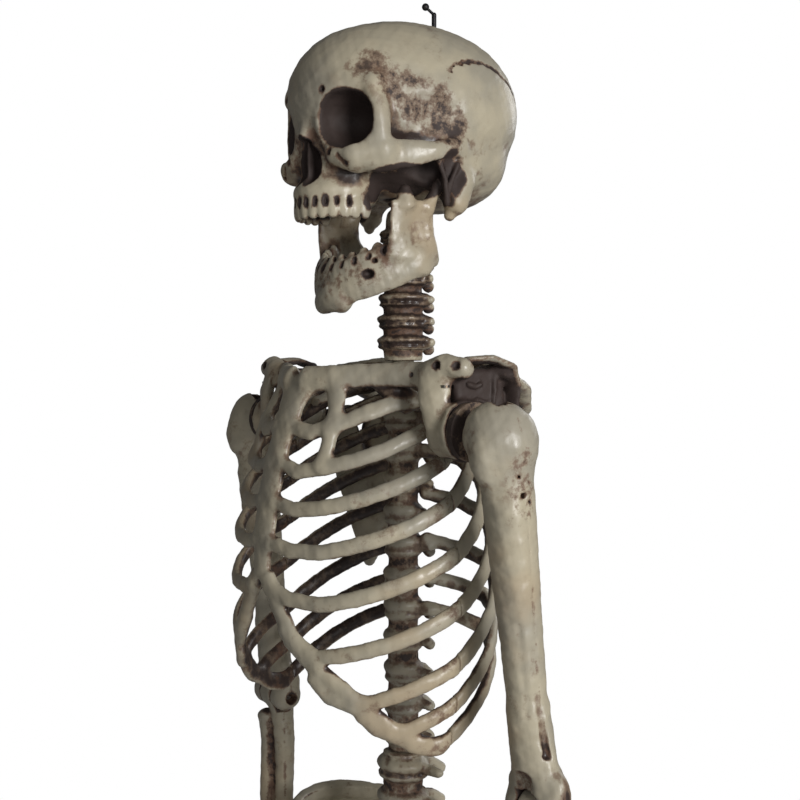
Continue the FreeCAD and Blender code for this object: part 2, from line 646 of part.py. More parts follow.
def build_forearm(side, sign):
    name = f"forearm_{side}"
    tongue, hole = hinge_tongue(f"elbow_{side}", "elbow_knuckle", "elbow_tongue")
    bone = limb(f"{name}_shaft", [(0, 0, -28, 12), (0, 0, -48, 15), (0, 0, -110, 13.5),
                                  (0, 0, "-forearm + 14", 12)])
    hollow = limb(f"{name}_hollow", [(0, 0, -50, "15 - wall"), (0, 0, -110, "13.5 - wall"),
                                     (0, 0, "-forearm + 36", 9)])
    fork, fork_slot = hinge_fork(f"wrist_{side}", "0", "-forearm", "wrist_knuckle", "wrist_cheek",
                                 "wrist_tongue",
                                 0.75, 0.75)
    whole = cut(f"{name}_whole", fuse(f"{name}_solid", tongue, bone, fork), hole, fork_slot)
    two_halves("forearm", side, whole, hollow, (elbow_seat(sign),), [(0, "-forearm * 0.5", 9.5)])
    keep(f"wrist_pin_{side}", pin(f"wrist_{side}_pin", "hinge_pin", 30), wrist_seat(sign))


def wrist_seat(sign):
    x, y, z = elbow_seat(sign)
    return (x, y, f"{z} - forearm")


def build_hand(side, sign):
    """A relaxed open hand: palm, four fingers that fan slightly and a thumb towards the front."""
    name = f"hand_{side}"
    tongue, hole = hinge_tongue(f"wrist_{side}", "wrist_knuckle", "wrist_tongue")
    palm = limb(f"{name}_palm", [(0, 0, -17, 9), (0, 0, -34, 13), (0, 0, -72, 12)])
    broad = block(f"{name}_broad", (-6, -28, -82), (12, 56, 44))
    fingers = []
    for number, (length, tilt) in enumerate(((74, 7), (82, 2), (76, -3), (60, -8))):
        fingers.append(solid("Cylinder", f"{name}_finger{number}", (0, f"{number} * 14 - 21", -80),
                             "1; 0; 0",
                             180 - tilt, Radius=4.5, Height=length))
    thumb = solid("Cylinder", f"{name}_thumb", (0, -20, -44), "1; 0; 0", 145, Radius=5, Height=62)
    keep(name, cut(f"{name}_done", fuse(f"{name}_solid", tongue, palm, broad, thumb, *fingers), hole),
         wrist_seat(sign))


def build_thigh(side, sign):
    seat = ((f"{sign} * hip_spread", "hip_setback", "hip_height"),)
    name = f"femur_{side}"
    head, head_slot = ball_end(name, "hip_ball", sign)
    lean = f"{sign} * thigh_lean"
    shaft = [(f"{sign} * 9", 0, -9, 14), (f"{sign} * 14", 0, -34, 16), (f"{sign} * 13", 0, -90, 14),
             (f"{sign} * 8", 0, -220, 13.5), (lean, 0, "-thigh + 70", 16), (lean, 0, "-thigh + 34", 22)]
    bone = limb(f"{name}_shaft", shaft)
    trochanter = egg(f"{name}_trochanter", (f"{sign} * 22", 0, -12), 11, 13, 17)
    fork, fork_slot = hinge_fork(f"knee_{side}", f"({lean})", "-thigh", "knee_knuckle", "knee_cheek",
                                 "knee_tongue", 0.1, 1.85)
    hollow = limb(f"{name}_hollow", [(f"{sign} * 13", 0, -60, 11), (f"{sign} * 8", 0, -220, "13.5 - wall"),
                                     (lean, 0, "-thigh + 76", "16 - wall")])
    whole = cut(f"{name}_whole", fuse(f"{name}_solid", bone, head, trochanter, fork), head_slot, fork_slot)
    screws_at = [(f"{sign} * 11", "-thigh * 0.3", 9.5), (f"{sign} * 7", "-thigh * 0.66", 9.5)]
    two_halves("femur", side, whole, hollow, seat, screws_at)
    build_hub(f"hip_{side}", side, sign, seat, 15, 24)
    keep(f"hip_pin_{side}", pin(f"hip_{side}_pin", "limb_pin", 32, "y"), *seat)
    keep(f"knee_pin_{side}", pin(f"knee_{side}_pin", "hinge_pin", 54), knee_seat(sign))


def knee_seat(sign):
    return (f"{sign} * (hip_spread + thigh_lean)", "hip_setback", "hip_height - thigh")


def build_shin(side, sign):
    name = f"shin_{side}"
    tongue, hole = hinge_tongue(f"knee_{side}", "knee_knuckle", "knee_tongue")
    lean = f"{sign} * shin_lean"
    bone = limb(f"{name}_shaft", [(0, 0, -39, 20), (0, 0, -70, 19), (0, 0, -140, 15), (lean, 0, -260, 13),
                                  (lean, 0, "-shin + 21", 15)])
    hollow = limb(f"{name}_hollow", [(0, 0, -72, "19 - wall"), (0, 0, -140, "15 - wall"),
                                     (lean, 0, -260, "13 - wall"),
                                     (lean, 0, "-shin + 44", 10)])
    fork, fork_slot = hinge_fork(f"ankle_{side}", f"({lean})", "-shin", "ankle_knuckle", "ankle_cheek",
                                 "ankle_tongue", 0.75, 0.75)
    whole = cut(f"{name}_whole", fuse(f"{name}_solid", tongue, bone, fork), hole, fork_slot)
    screws_at = [(0, "-shin * 0.36", 11), (f"{lean} * 0.9", "-shin * 0.68", 9.5)]
    two_halves("shin", side, whole, hollow, (knee_seat(sign),), screws_at)
    keep(f"ankle_pin_{side}", pin(f"ankle_{side}_pin", "hinge_pin", 38), ankle_seat(sign))


def ankle_seat(sign):
    x, y, z = knee_seat(sign)
    return (f"{x} + {sign} * shin_lean", y, f"{z} - shin")


def build_foot(side, sign):
    """A flat-soled foot: the ankle block, the heel, the arch and a broad toe end."""
    name = f"foot_{side}"
    tongue, hole = hinge_tongue(f"ankle_{side}", "ankle_knuckle", "ankle_tongue")
    sole = "hip_height - thigh - shin"
    instep = block(f"{name}_instep", (-13, -34, f"-({sole}) + 14"), (26, 56, f"{sole} - 14 - 28"))
    heel = block(f"{name}_heel", (-14, 0, f"-({sole})"), (28, "foot_back", 30))
    middle = block(f"{name}_middle", (-20, "-foot_front + 40", f"-({sole})"), (40, "foot_front - 38", 20))
    toes = block(f"{name}_toes", (-31, "-foot_front", f"-({sole})"), (62, 58, 13))
    keep(name, cut(f"{name}_done", fuse(f"{name}_solid", tongue, instep, heel, middle, toes), hole),
         ankle_seat(sign))


# ---------------------------------------------------------------- the whole figure

def build_figure():
    build_skull()
    build_hook()
    build_jaw()
    build_neck()
    build_rear_shell()
    build_front_shell()
    build_collar_screws()
    build_lumbar()
    build_pelvis()
    for side, sign in (("left", 1), ("right", -1)):
        build_scapula(side, sign)
        build_upper_arm(side, sign)
        build_forearm(side, sign)
        build_hand(side, sign)
        build_thigh(side, sign)
        build_shin(side, sign)
        build_foot(side, sign)


def check_document():
    broken = [o.Name for o in doc.Objects if {"Invalid", "Error"} & set(o.State)]
    broken += [node for node, piece in nodes.items() if piece.Shape.isNull() or not piece.Shape.isValid()]
    if broken:
        raise RuntimeError(f"these objects failed: {broken}")


build_figure()
doc.recompute()
check_document()
os.makedirs("parts", exist_ok=True)
for node, piece in nodes.items():
    piece.Shape.exportStep(f"parts/{node}.step")
    print(f"{node}: {len(piece.Shape.Solids)} solid(s), {piece.Shape.Volume / 1000:.1f} cm3")
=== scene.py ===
"""The looks of a posable plastic skeleton that hangs from a hook in its crown.

Bones are made as signed distance fields: soft unions and cuts of eggs, tubes and bands, polygonised with OpenVDB.
They are laid out in figure axes, in millimetres: x to the figure's left, y to its back, z up from the soles.
"""

import json
import math

import bpy
import numpy as np
import openvdb
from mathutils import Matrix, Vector

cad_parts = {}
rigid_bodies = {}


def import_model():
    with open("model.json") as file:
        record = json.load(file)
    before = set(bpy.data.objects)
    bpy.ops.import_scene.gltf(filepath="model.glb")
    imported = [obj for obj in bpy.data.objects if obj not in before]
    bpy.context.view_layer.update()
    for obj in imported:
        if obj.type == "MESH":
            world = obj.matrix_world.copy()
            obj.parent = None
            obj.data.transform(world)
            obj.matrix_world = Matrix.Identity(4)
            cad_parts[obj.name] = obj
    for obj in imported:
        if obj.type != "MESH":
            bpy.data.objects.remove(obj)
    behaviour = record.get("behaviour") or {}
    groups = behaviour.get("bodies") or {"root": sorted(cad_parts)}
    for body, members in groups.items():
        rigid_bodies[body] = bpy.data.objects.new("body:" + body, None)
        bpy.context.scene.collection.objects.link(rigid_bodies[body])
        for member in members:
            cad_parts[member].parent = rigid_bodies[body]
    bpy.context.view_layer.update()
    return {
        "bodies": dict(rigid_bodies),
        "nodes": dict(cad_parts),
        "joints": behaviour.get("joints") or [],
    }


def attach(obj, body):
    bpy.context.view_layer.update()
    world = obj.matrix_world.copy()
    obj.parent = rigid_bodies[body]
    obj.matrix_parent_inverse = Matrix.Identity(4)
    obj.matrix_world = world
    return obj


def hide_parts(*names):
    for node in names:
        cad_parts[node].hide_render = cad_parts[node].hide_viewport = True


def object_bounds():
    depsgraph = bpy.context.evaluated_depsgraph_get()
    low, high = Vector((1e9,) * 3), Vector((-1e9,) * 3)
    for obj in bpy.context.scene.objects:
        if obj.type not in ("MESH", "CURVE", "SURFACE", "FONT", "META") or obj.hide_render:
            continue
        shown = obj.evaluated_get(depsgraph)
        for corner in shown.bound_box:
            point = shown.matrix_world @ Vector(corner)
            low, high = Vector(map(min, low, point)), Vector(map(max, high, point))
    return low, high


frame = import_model()

HOOK_SETBACK = 28.0        # the hook stands this far behind the neck's axis
HANG_HEIGHT = 1536.0       # the row's origin above the soles
OUTSIDE = 30.0             # the field's value away from any bone, in millimetres
SIDES = (("left", 1), ("right", -1))


ORIGIN = np.array([0, HOOK_SETBACK, HANG_HEIGHT])


def row_point(points):
    """Points in figure axes and millimetres, given in the row's frame."""
    return (np.asarray(points) - ORIGIN) / 1000


PIVOT = {joint["name"]: 1000 * np.array(joint["pos_m"]) + ORIGIN for joint in frame["joints"]}
NECK_FOOT = PIVOT["head_turn"][2]
NOD = PIVOT["head_nod"][2]
WAIST = PIVOT["waist_turn"][2]
CROWN = HANG_HEIGHT - 12


# -------- distance fields

def unit(vector):
    vector = np.asarray(vector, float)
    return vector / np.linalg.norm(vector)


def egg(centre, radii, turn=0.0):
    """An ellipsoid, turned about its upright axis by some degrees."""
    centre, radii = np.asarray(centre, float), np.asarray(radii, float)
    cosine, sine = math.cos(math.radians(turn)), math.sin(math.radians(turn))
    reach = np.abs([[cosine, sine, 0], [sine, cosine, 0], [0, 0, 1]]) @ radii

    def distance(x, y, z):
        x, y, z = x - centre[0], y - centre[1], z - centre[2]
        if turn:
            x, y = cosine * x + sine * y, cosine * y - sine * x
        near = np.sqrt((x / radii[0]) ** 2 + (y / radii[1]) ** 2 + (z / radii[2]) ** 2)
        steep = np.sqrt((x / radii[0] ** 2) ** 2 + (y / radii[1] ** 2) ** 2 + (z / radii[2] ** 2) ** 2)
        return near * (near - 1) / np.maximum(steep, 1e-6)
    return [(centre - reach, centre + reach, distance)]


def tube(points, radii):
    """A chain of tapered round lengths through the points. radii is one number or one for each point."""
    points = [np.asarray(point, float) for point in points]
    radii = [float(radii)] * len(points) if np.isscalar(radii) else list(radii)
    return [length(a, b, ra, rb) for a, b, ra, rb in zip(points, points[1:], radii, radii[1:])]


def length(a, b, start_radius, end_radius):
    along = b - a
    span = max(float(along @ along), 1e-6)
    reach = max(start_radius, end_radius)

    def distance(x, y, z):
        x, y, z = x - a[0], y - a[1], z - a[2]
        t = np.clip((x * along[0] + y * along[1] + z * along[2]) / span, 0, 1)
        gap = np.sqrt((x - t * along[0]) ** 2 + (y - t * along[1]) ** 2 + (z - t * along[2]) ** 2)
        return gap - (start_radius + t * (end_radius - start_radius))
    return (np.minimum(a, b) - reach, np.maximum(a, b) + reach, distance)


def band(points, wide, thin, facing):
    """A chain of flattened lengths. facing is the direction of the thin side, one for all or one for each length."""
    points = [np.asarray(point, float) for point in points]
    wide = [float(wide)] * len(points) if np.isscalar(wide) else list(wide)
    thin = [float(thin)] * len(points) if np.isscalar(thin) else list(thin)
    facing = [facing] * (len(points) - 1) if np.ndim(facing) == 1 else facing
    return [flat_length(*ends) for ends in zip(points, points[1:], wide, wide[1:], thin, thin[1:], facing)]


def flat_length(a, b, wide_a, wide_b, thin_a, thin_b, facing):
    span = np.linalg.norm(b - a)
    along = (b - a) / span
    normal = unit(np.asarray(facing, float) - along * (along @ facing))
    side = np.cross(along, normal)
    reach = max(wide_a, wide_b, thin_a, thin_b)

    def distance(x, y, z):
        x, y, z = x - a[0], y - a[1], z - a[2]
        run = x * along[0] + y * along[1] + z * along[2]
        t = np.clip(run / span, 0, 1)
        thin = thin_a + t * (thin_b - thin_a)
        wide = wide_a + t * (wide_b - wide_a)
        up = (x * normal[0] + y * normal[1] + z * normal[2]) / thin
        across = (x * side[0] + y * side[1] + z * side[2]) / wide
        beyond = (run - t * span) / thin
        near = np.sqrt(up * up + across * across + beyond * beyond)
        steep = np.sqrt((up / thin) ** 2 + (across / wide) ** 2 + (beyond / thin) ** 2)
        return near * (near - 1) / np.maximum(steep, 1e-6)
    return (np.minimum(a, b) - reach, np.maximum(a, b) + reach, distance)


def slab(centre, half, soft=1.0):
    """A box with rounded edges."""
    centre, half = np.asarray(centre, float), np.asarray(half, float)

    def distance(x, y, z):
        x, y, z = (np.abs(v - c) - (h - soft) for v, c, h in zip((x, y, z), centre, half))
        away = np.sqrt(np.maximum(x, 0) ** 2 + np.maximum(y, 0) ** 2 + np.maximum(z, 0) ** 2)
        return away + np.minimum(np.maximum(np.maximum(x, y), z), 0) - soft
    return [(centre - half, centre + half, distance)]


def ring(centre, radius, thick, facing, squash=1.0):
    """A torus round the direction facing, its tube squashed along it."""
    centre, normal = np.asarray(centre, float), unit(facing)
    reach = np.full(3, radius + thick)

    def distance(x, y, z):
        x, y, z = x - centre[0], y - centre[1], z - centre[2]
        run = x * normal[0] + y * normal[1] + z * normal[2]
        out = np.sqrt(np.maximum(x * x + y * y + z * z - run * run, 0))
        return np.sqrt((out - radius) ** 2 + (run / squash) ** 2) - thick
    return [(centre - reach, centre + reach, distance)]


def disc(centre, radius, half):
    """A flat-sided drum whose axis lies along x."""
    centre = np.asarray(centre, float)
    reach = np.array([half, radius, radius])

    def distance(x, y, z):
        out = np.sqrt((y - centre[1]) ** 2 + (z - centre[2]) ** 2) - radius
        return np.maximum(out, np.abs(x - centre[0]) - half)
    return [(centre - reach, centre + reach, distance)]


def both(shape):
    """The shape and its mirror image on the figure's other side."""
    def other(part):
        low, high, distance = part
        return (np.array([-high[0], low[1], low[2]]), np.array([-low[0], high[1], high[2]]), lambda x, y,
                z: distance(-x, y, z))
    return shape + [other(part) for part in shape]


class Field:
    """A sampled distance field that shapes are added to and cut from."""

    def __init__(self, low, high, voxel):
        self.voxel = voxel
        self.low = np.asarray(low, float) - 3 * voxel
        counts = np.ceil((np.asarray(high, float) + 3 * voxel - self.low) / voxel).astype(int) + 1
        self.value = np.full(counts, OUTSIDE, np.float32)
        self.washed = np.zeros(counts, np.float32)

    def window(self, low, high, pad):
        first = np.maximum(np.floor((low - pad - self.low) / self.voxel).astype(int), 0)
        last = np.minimum(np.ceil((high + pad - self.low) / self.voxel).astype(int) + 1, self.value.shape)
        return first, np.maximum(last, first)

    def axes(self, first, last):
        x, y, z = (self.low[k] + self.voxel * np.arange(first[k], last[k], dtype=np.float32) for k in range(3))
        return x[:, None, None], y[None, :, None], z[None, None, :]

    def sample(self, shape, pad):
        low = np.min([part[0] for part in shape], axis=0)
        high = np.max([part[1] for part in shape], axis=0)
        first, last = self.window(low, high, pad)
        patch = np.full(last - first, OUTSIDE, np.float32)
        for part_low, part_high, distance in shape:
            a, b = self.window(part_low, part_high, pad)
            a, b = np.maximum(a, first), np.minimum(b, last)
            if (b <= a).any():
                continue
            inner = tuple(slice(s, e) for s, e in zip(a - first, b - first))
            patch[inner] = np.minimum(patch[inner], distance(*self.axes(a, b)))
        return tuple(slice(s, e) for s, e in zip(first, last)), patch

    def add(self, shape, soft=3.0):
        where, patch = self.sample(shape, max(2 * soft, 10.0))
        self.value[where] = soft_least(self.value[where], patch, soft)

    def cut(self, shape, soft=1.5, wash=0.0):
        where, patch = self.sample(shape, max(2 * soft, 4.0))
        self.value[where] = -soft_least(-self.value[where], patch, soft)
        if wash:
            self.stain(shape, wash, 2.5)

    def stain(self, shape, amount, edge):
        """Dark wash on what lies in the shape, fading out over the edge's width."""
        where, patch = self.sample(shape, edge + 1)
        self.washed[where] = np.maximum(self.washed[where], amount * np.clip((edge - patch) / edge, 0, 1))

    def seam(self, y, slope=0.0, level=0.0, deep=0.45, broad=0.8):
        """The parting line between a bone's front and rear halves."""
        across = self.axes((0, 0, 0), self.value.shape)
        line = np.exp(-((across[1] - y - slope * (across[2] - level)) / broad) ** 2) + 0 * across[0]
        near = np.abs(self.value) < 5
        self.value[near] += (deep * line)[near]
        self.washed = np.maximum(self.washed, 0.5 * line.astype(np.float32))

    def keep_inside(self, shape, soft=1.0):
        """Keeps only what lies inside the shape."""
        where, patch = self.sample(shape, max(2 * soft, 4.0))
        kept = np.full(self.value.shape, OUTSIDE, np.float32)
        kept[where] = -soft_least(-self.value[where], -patch, soft)
        self.value = kept

    def roughen(self, height, size, seed):
        """Shallow uneven dents, as in a moulding taken from a carved master."""
        x, y, z = self.axes((0, 0, 0), self.value.shape)
        turn = np.random.default_rng(seed).uniform(0, 2 * math.pi, (3, 3))
        near = np.abs(self.value) < 6
        bumps = np.zeros(self.value.shape, np.float32)
        for octave, (share, scale) in enumerate(((1.0, 1.0), (0.5, 2.1), (0.3, 4.3))):
            k = 2 * math.pi * scale / size
            a, b, c = turn[octave]
            bumps += share * (np.sin(k * (x + 0.6 * y) + a) * np.sin(k * (y - 0.5 * z) + b)
                              * np.sin(k * (z + 0.4 * x) + c))
        self.value[near] += height * bumps[near]

    def at(self, points, value=None):
        """The field, or another grid like it, at points, by trilinear interpolation."""
        places = (points - self.low) / self.voxel
        limit = np.array(self.value.shape) - 1.001
        places = np.clip(places, 0, limit)
        base = places.astype(int)
        fx, fy, fz = (places - base).T
        i, j, k = base.T
        value = self.value if value is None else value
        total = 0
        for dx, wx in ((0, 1 - fx), (1, fx)):
            for dy, wy in ((0, 1 - fy), (1, fy)):
                for dz, wz in ((0, 1 - fz), (1, fz)):
                    total = total + wx * wy * wz * value[i + dx, j + dy, k + dz]
        return total

    def surface(self):
        """Vertices in figure millimetres and faces of the field's zero level."""
        grid = openvdb.FloatGrid(background=OUTSIDE)
        grid.copyFromArray(self.value.astype(np.float64), tolerance=0.0)
        points, triangles, quads = grid.convertToPolygons(isovalue=0.0, adaptivity=0.0)
        return self.low + points * self.voxel, [tuple(f) for f in triangles] + [tuple(f) for f in quads]


def soft_least(a, b, soft):
    share = np.clip(0.5 + 0.5 * (b - a) / soft, 0, 1)
    return b + (a - b) * share - soft * share * (1 - share)


# -------- from fields to pieces

def hollow_of(field, points, normals):
    """How deep each point lies in a recess: 0 on open bone, towards 1 in a groove or socket. It is a rough
    ambient-occlusion measure; the bone finish paints shade and dark wash by it.
    """
    fine, broad = 3.0, 9.0
    near = 1 - field.at(points + normals * fine) / fine
    wide = 1 - field.at(points + normals * broad) / broad
    return np.clip(0.75 * near + 0.8 * wide, 0, 1)


def make_mesh(name, points, faces):
    mesh = bpy.data.meshes.new(name)
    mesh.from_pydata(row_point(points).tolist(), [], faces)
    mesh.update()
    return mesh


def bone(name, field, body, *nodes, slot="bone_plastic", inward=None):
    """A visible bone from a field. It rides on a body and stands for that body's CAD nodes.

    Faces that look towards the point inward get painted shade, with some of the dark wash, as inside the rib cage.
    Recesses get the dark wash with painted shade, and faces turned down get painted shade; all of it goes into one
    attribute that the bone finish darkens by.
    """
    points, faces = field.surface()
    mesh = make_mesh(name, points, faces)
    normals = np.empty(len(points) * 3, np.float32)
    mesh.vertex_normals.foreach_get("vector", normals)
    normals = normals.reshape(-1, 3)
    probe = field.at(points + normals)
    if np.mean(probe) < 0:
        mesh.flip_normals()
        normals = -normals
    # Darkening in recesses: the moulding's dark wash there, together with painted shade.
    shade_and_wash_depth = hollow_of(field, points, normals)
    # Painted shade on faces turned in towards the cage's middle, with some dark wash; less of it near the figure's
    # middle line.
    if inward is not None:
        towards = inward - points
        towards /= np.linalg.norm(towards, axis=1)[:, None]
        aside = np.clip(np.abs(points[:, 0]) / 28, 0.25, 1)
        shade_and_wash_depth = np.maximum(shade_and_wash_depth, 0.72 * aside * np.clip(1.6 * np.sum(towards * normals, axis=1), 0, 1))
    # Painted shade on faces turned down, with some dark wash collected under the bones.
    shade_and_wash_depth = np.maximum(shade_and_wash_depth, 0.36 * np.clip(-1.6 * normals[:, 2] - 0.5, 0, 1))
    for label, values in (("painted_shade_and_wash", shade_and_wash_depth), ("washed", field.at(points, field.washed))):
        mesh.attributes.new(label, "FLOAT", "POINT").data.foreach_set("value", values.astype(np.float32))
    mesh.shade_smooth()
    mesh.materials.append(BONE)
    piece = bpy.data.objects.new(name, mesh)
    bpy.context.scene.collection.objects.link(piece)
    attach(piece, body)
    if nodes:
        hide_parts(*nodes)
    return piece


def pair(name, field, body, *nodes):
    """The left bone and its mirror image on the right. A middle body keeps its name on both sides."""
    for side, sign in SIDES:
        rides = body if body in frame["bodies"] else f"{body}_{side}"
        bone(f"{name}_{side}_skin", field if sign > 0 else flipped(field), rides,
             *(f"{node}_{side}" for node in nodes))


def flipped(field):
    other = Field.__new__(Field)
    other.voxel = field.voxel
    other.value = np.ascontiguousarray(field.value[::-1])
    other.washed = np.ascontiguousarray(field.washed[::-1])
    far = field.low[0] + field.voxel * (field.value.shape[0] - 1)
    other.low = np.array([-far, field.low[1], field.low[2]])
    return other


# -------- materials

def node_tree(name):
    material = bpy.data.materials.new(name)
    material.use_nodes = True
    tree = material.node_tree
    tree.nodes.clear()
    output = tree.nodes.new("ShaderNodeOutputMaterial")
    shader = tree.nodes.new("ShaderNodeBsdfPrincipled")
    tree.links.new(shader.outputs["BSDF"], output.inputs["Surface"])
    return material, tree, shader


def noise(tree, scale, detail=4.0, rough=0.6, offset=0.0):
    place = tree.nodes.new("ShaderNodeTexCoord")
    mapping = tree.nodes.new("ShaderNodeMapping")
    mapping.inputs["Location"].default_value = (offset, offset * 0.7, offset * 1.3)
    texture = tree.nodes.new("ShaderNodeTexNoise")
    texture.inputs["Scale"].default_value = scale
    texture.inputs["Detail"].default_value = detail
    texture.inputs["Roughness"].default_value = rough
    tree.links.new(place.outputs["Object"], mapping.inputs["Vector"])
    tree.links.new(mapping.outputs["Vector"], texture.inputs["Vector"])
    return texture.outputs["Fac"]


def ramp(tree, source, low, high, start=0.0, end=1.0):
    """Maps source from low..high to start..end, clamped and eased."""
    node = tree.nodes.new("ShaderNodeMapRange")
    node.interpolation_type = "SMOOTHSTEP"
    for socket, value in zip(("From Min", "From Max", "To Min", "To Max"), (low, high, start, end)):
        node.inputs[socket].default_value = value
    tree.links.new(source, node.inputs["Value"])
    return node.outputs["Result"]


def mixed(tree, amount, first, second):
    """Colours or colour sockets mixed by a socket."""
    node = tree.nodes.new("ShaderNodeMix")
    node.data_type = "RGBA"
    tree.links.new(amount, node.inputs["Factor"])
    for socket, value in ((node.inputs[6], first), (node.inputs[7], second)):
        if isinstance(value, tuple):
            socket.default_value = (*value, 1.0)
        else:
            tree.links.new(value, socket)
    return node.outputs[2]


def sums(tree, kind, first, second):
    node = tree.nodes.new("ShaderNodeMath")
    node.operation = kind
    node.use_clamp = kind == "ADD"
    for socket, value in zip(node.inputs, (first, second)):
        if isinstance(value, (int, float)):
            socket.default_value = value
        else:
            tree.links.new(value, socket)
    return node.outputs[0]


def attribute(tree, name):
    node = tree.nodes.new("ShaderNodeAttribute")
    node.attribute_name = name
    return node.outputs["Fac"]


def dent(tree, shader, height, strength, distance):
    bump = tree.nodes.new("ShaderNodeBump")
    bump.inputs["Strength"].default_value = strength
    bump.inputs["Distance"].default_value = distance
    tree.links.new(height, bump.inputs["Height"])
    tree.links.new(bump.outputs["Normal"], shader.inputs["Normal"])


def bone_material(name, soaked=0.0):
    """Aged ivory plastic: grey and yellow clouds, rust-brown mottles, dark wash in the recesses, and painted shade in
    the recesses, under the bones and inside the rib cage, drawn in the same rust and wash colours.

    soaked is how much of the wash the whole piece takes.
    """
    material, tree, shader = node_tree(name)
    ivory, grey, tan = (0.44, 0.39, 0.285), (0.33, 0.3, 0.235), (0.4, 0.31, 0.2)
    # The rust and wash colours are those of the mottles and the dark wash, and also those of the painted shade.
    rust, wash = (0.14, 0.075, 0.045), (0.034, 0.022, 0.019)
    colour = mixed(tree, ramp(tree, noise(tree, 14), 0.38, 0.62), ivory, grey)
    colour = mixed(tree, ramp(tree, noise(tree, 9, offset=4.0), 0.52, 0.68, 0.0, 0.7), colour, tan)
    mottle = sums(tree, "MULTIPLY", ramp(tree, noise(tree, 55, 8.0, 0.75, offset=2.0), 0.53, 0.66),
                  ramp(tree, noise(tree, 11, 3.0, offset=8.0), 0.48, 0.62, 0.15, 1.0))
    colour = mixed(tree, sums(tree, "MULTIPLY", mottle, 0.6), colour, rust)
    uneven = ramp(tree, noise(tree, 90, 6.0, 0.7), 0.3, 0.7, -0.2, 0.2)
    # Painted shade with dark wash, by the recess attribute: rust-brown first, then near black in grooves, under the
    # bones and inside the cage.
    edge = sums(tree, "ADD", attribute(tree, "painted_shade_and_wash"), uneven)
    colour = mixed(tree, ramp(tree, edge, 0.2, 0.5, 0.0, 0.75), colour, rust)
    colour = mixed(tree, ramp(tree, edge, 0.42, 0.8, 0.0, 0.96), colour, wash)
    speckle = ramp(tree, noise(tree, 75, 8.0, 0.72, offset=6.0), 0.35, 0.65, soaked - 0.3, soaked + 0.3)
    blot = sums(tree, "ADD", attribute(tree, "washed"), speckle)
    colour = mixed(tree, ramp(tree, blot, 0.25, 0.6, 0.0, 0.8), colour, rust)
    colour = mixed(tree, ramp(tree, blot, 0.55, 0.8, 0.0, 0.97), colour, wash)
    tree.links.new(colour, shader.inputs["Base Color"])
    sheen = sums(tree, "ADD", ramp(tree, noise(tree, 70, 5.0, offset=1.0), 0.3, 0.7, 0.3, 0.46),
                 ramp(tree, blot, 0.2, 0.6, 0.0, 0.32))
    tree.links.new(sheen, shader.inputs["Roughness"])
    shader.inputs["Specular IOR Level"].default_value = 0.45
    height = sums(tree, "ADD", sums(tree, "MULTIPLY", noise(tree, 160, 6.0, 0.65), 0.5),
                  sums(tree, "MULTIPLY", noise(tree, 45, 4.0, 0.55, offset=3.0), 0.5))
    dent(tree, shader, height, 0.35, 0.0012)
    return material


def metal_material(name, colour, worn, roughness, metallic):
    material, tree, shader = node_tree(name)
    tint = mixed(tree, ramp(tree, noise(tree, 400, 5.0), 0.45, 0.7), colour, worn)
    tree.links.new(tint, shader.inputs["Base Color"])
    tree.links.new(ramp(tree, noise(tree, 700, 4.0), 0.3, 0.7, roughness - 0.1, roughness + 0.15),
                   shader.inputs["Roughness"])
    shader.inputs["Metallic"].default_value = metallic
    dent(tree, shader, noise(tree, 900, 3.0), 0.25, 0.0003)
    return material


BONE = bone_material("aged_bone_plastic")
SOAKED = bone_material("wash_soaked_plastic", 0.8)
WIRE = metal_material("blackened_wire", (0.018, 0.017, 0.02), (0.05, 0.045, 0.04), 0.45, 0.6)
STEEL = metal_material("dull_screw_steel", (0.3, 0.28, 0.25), (0.12, 0.08, 0.05), 0.4, 1.0)


# -------- skull and jaw

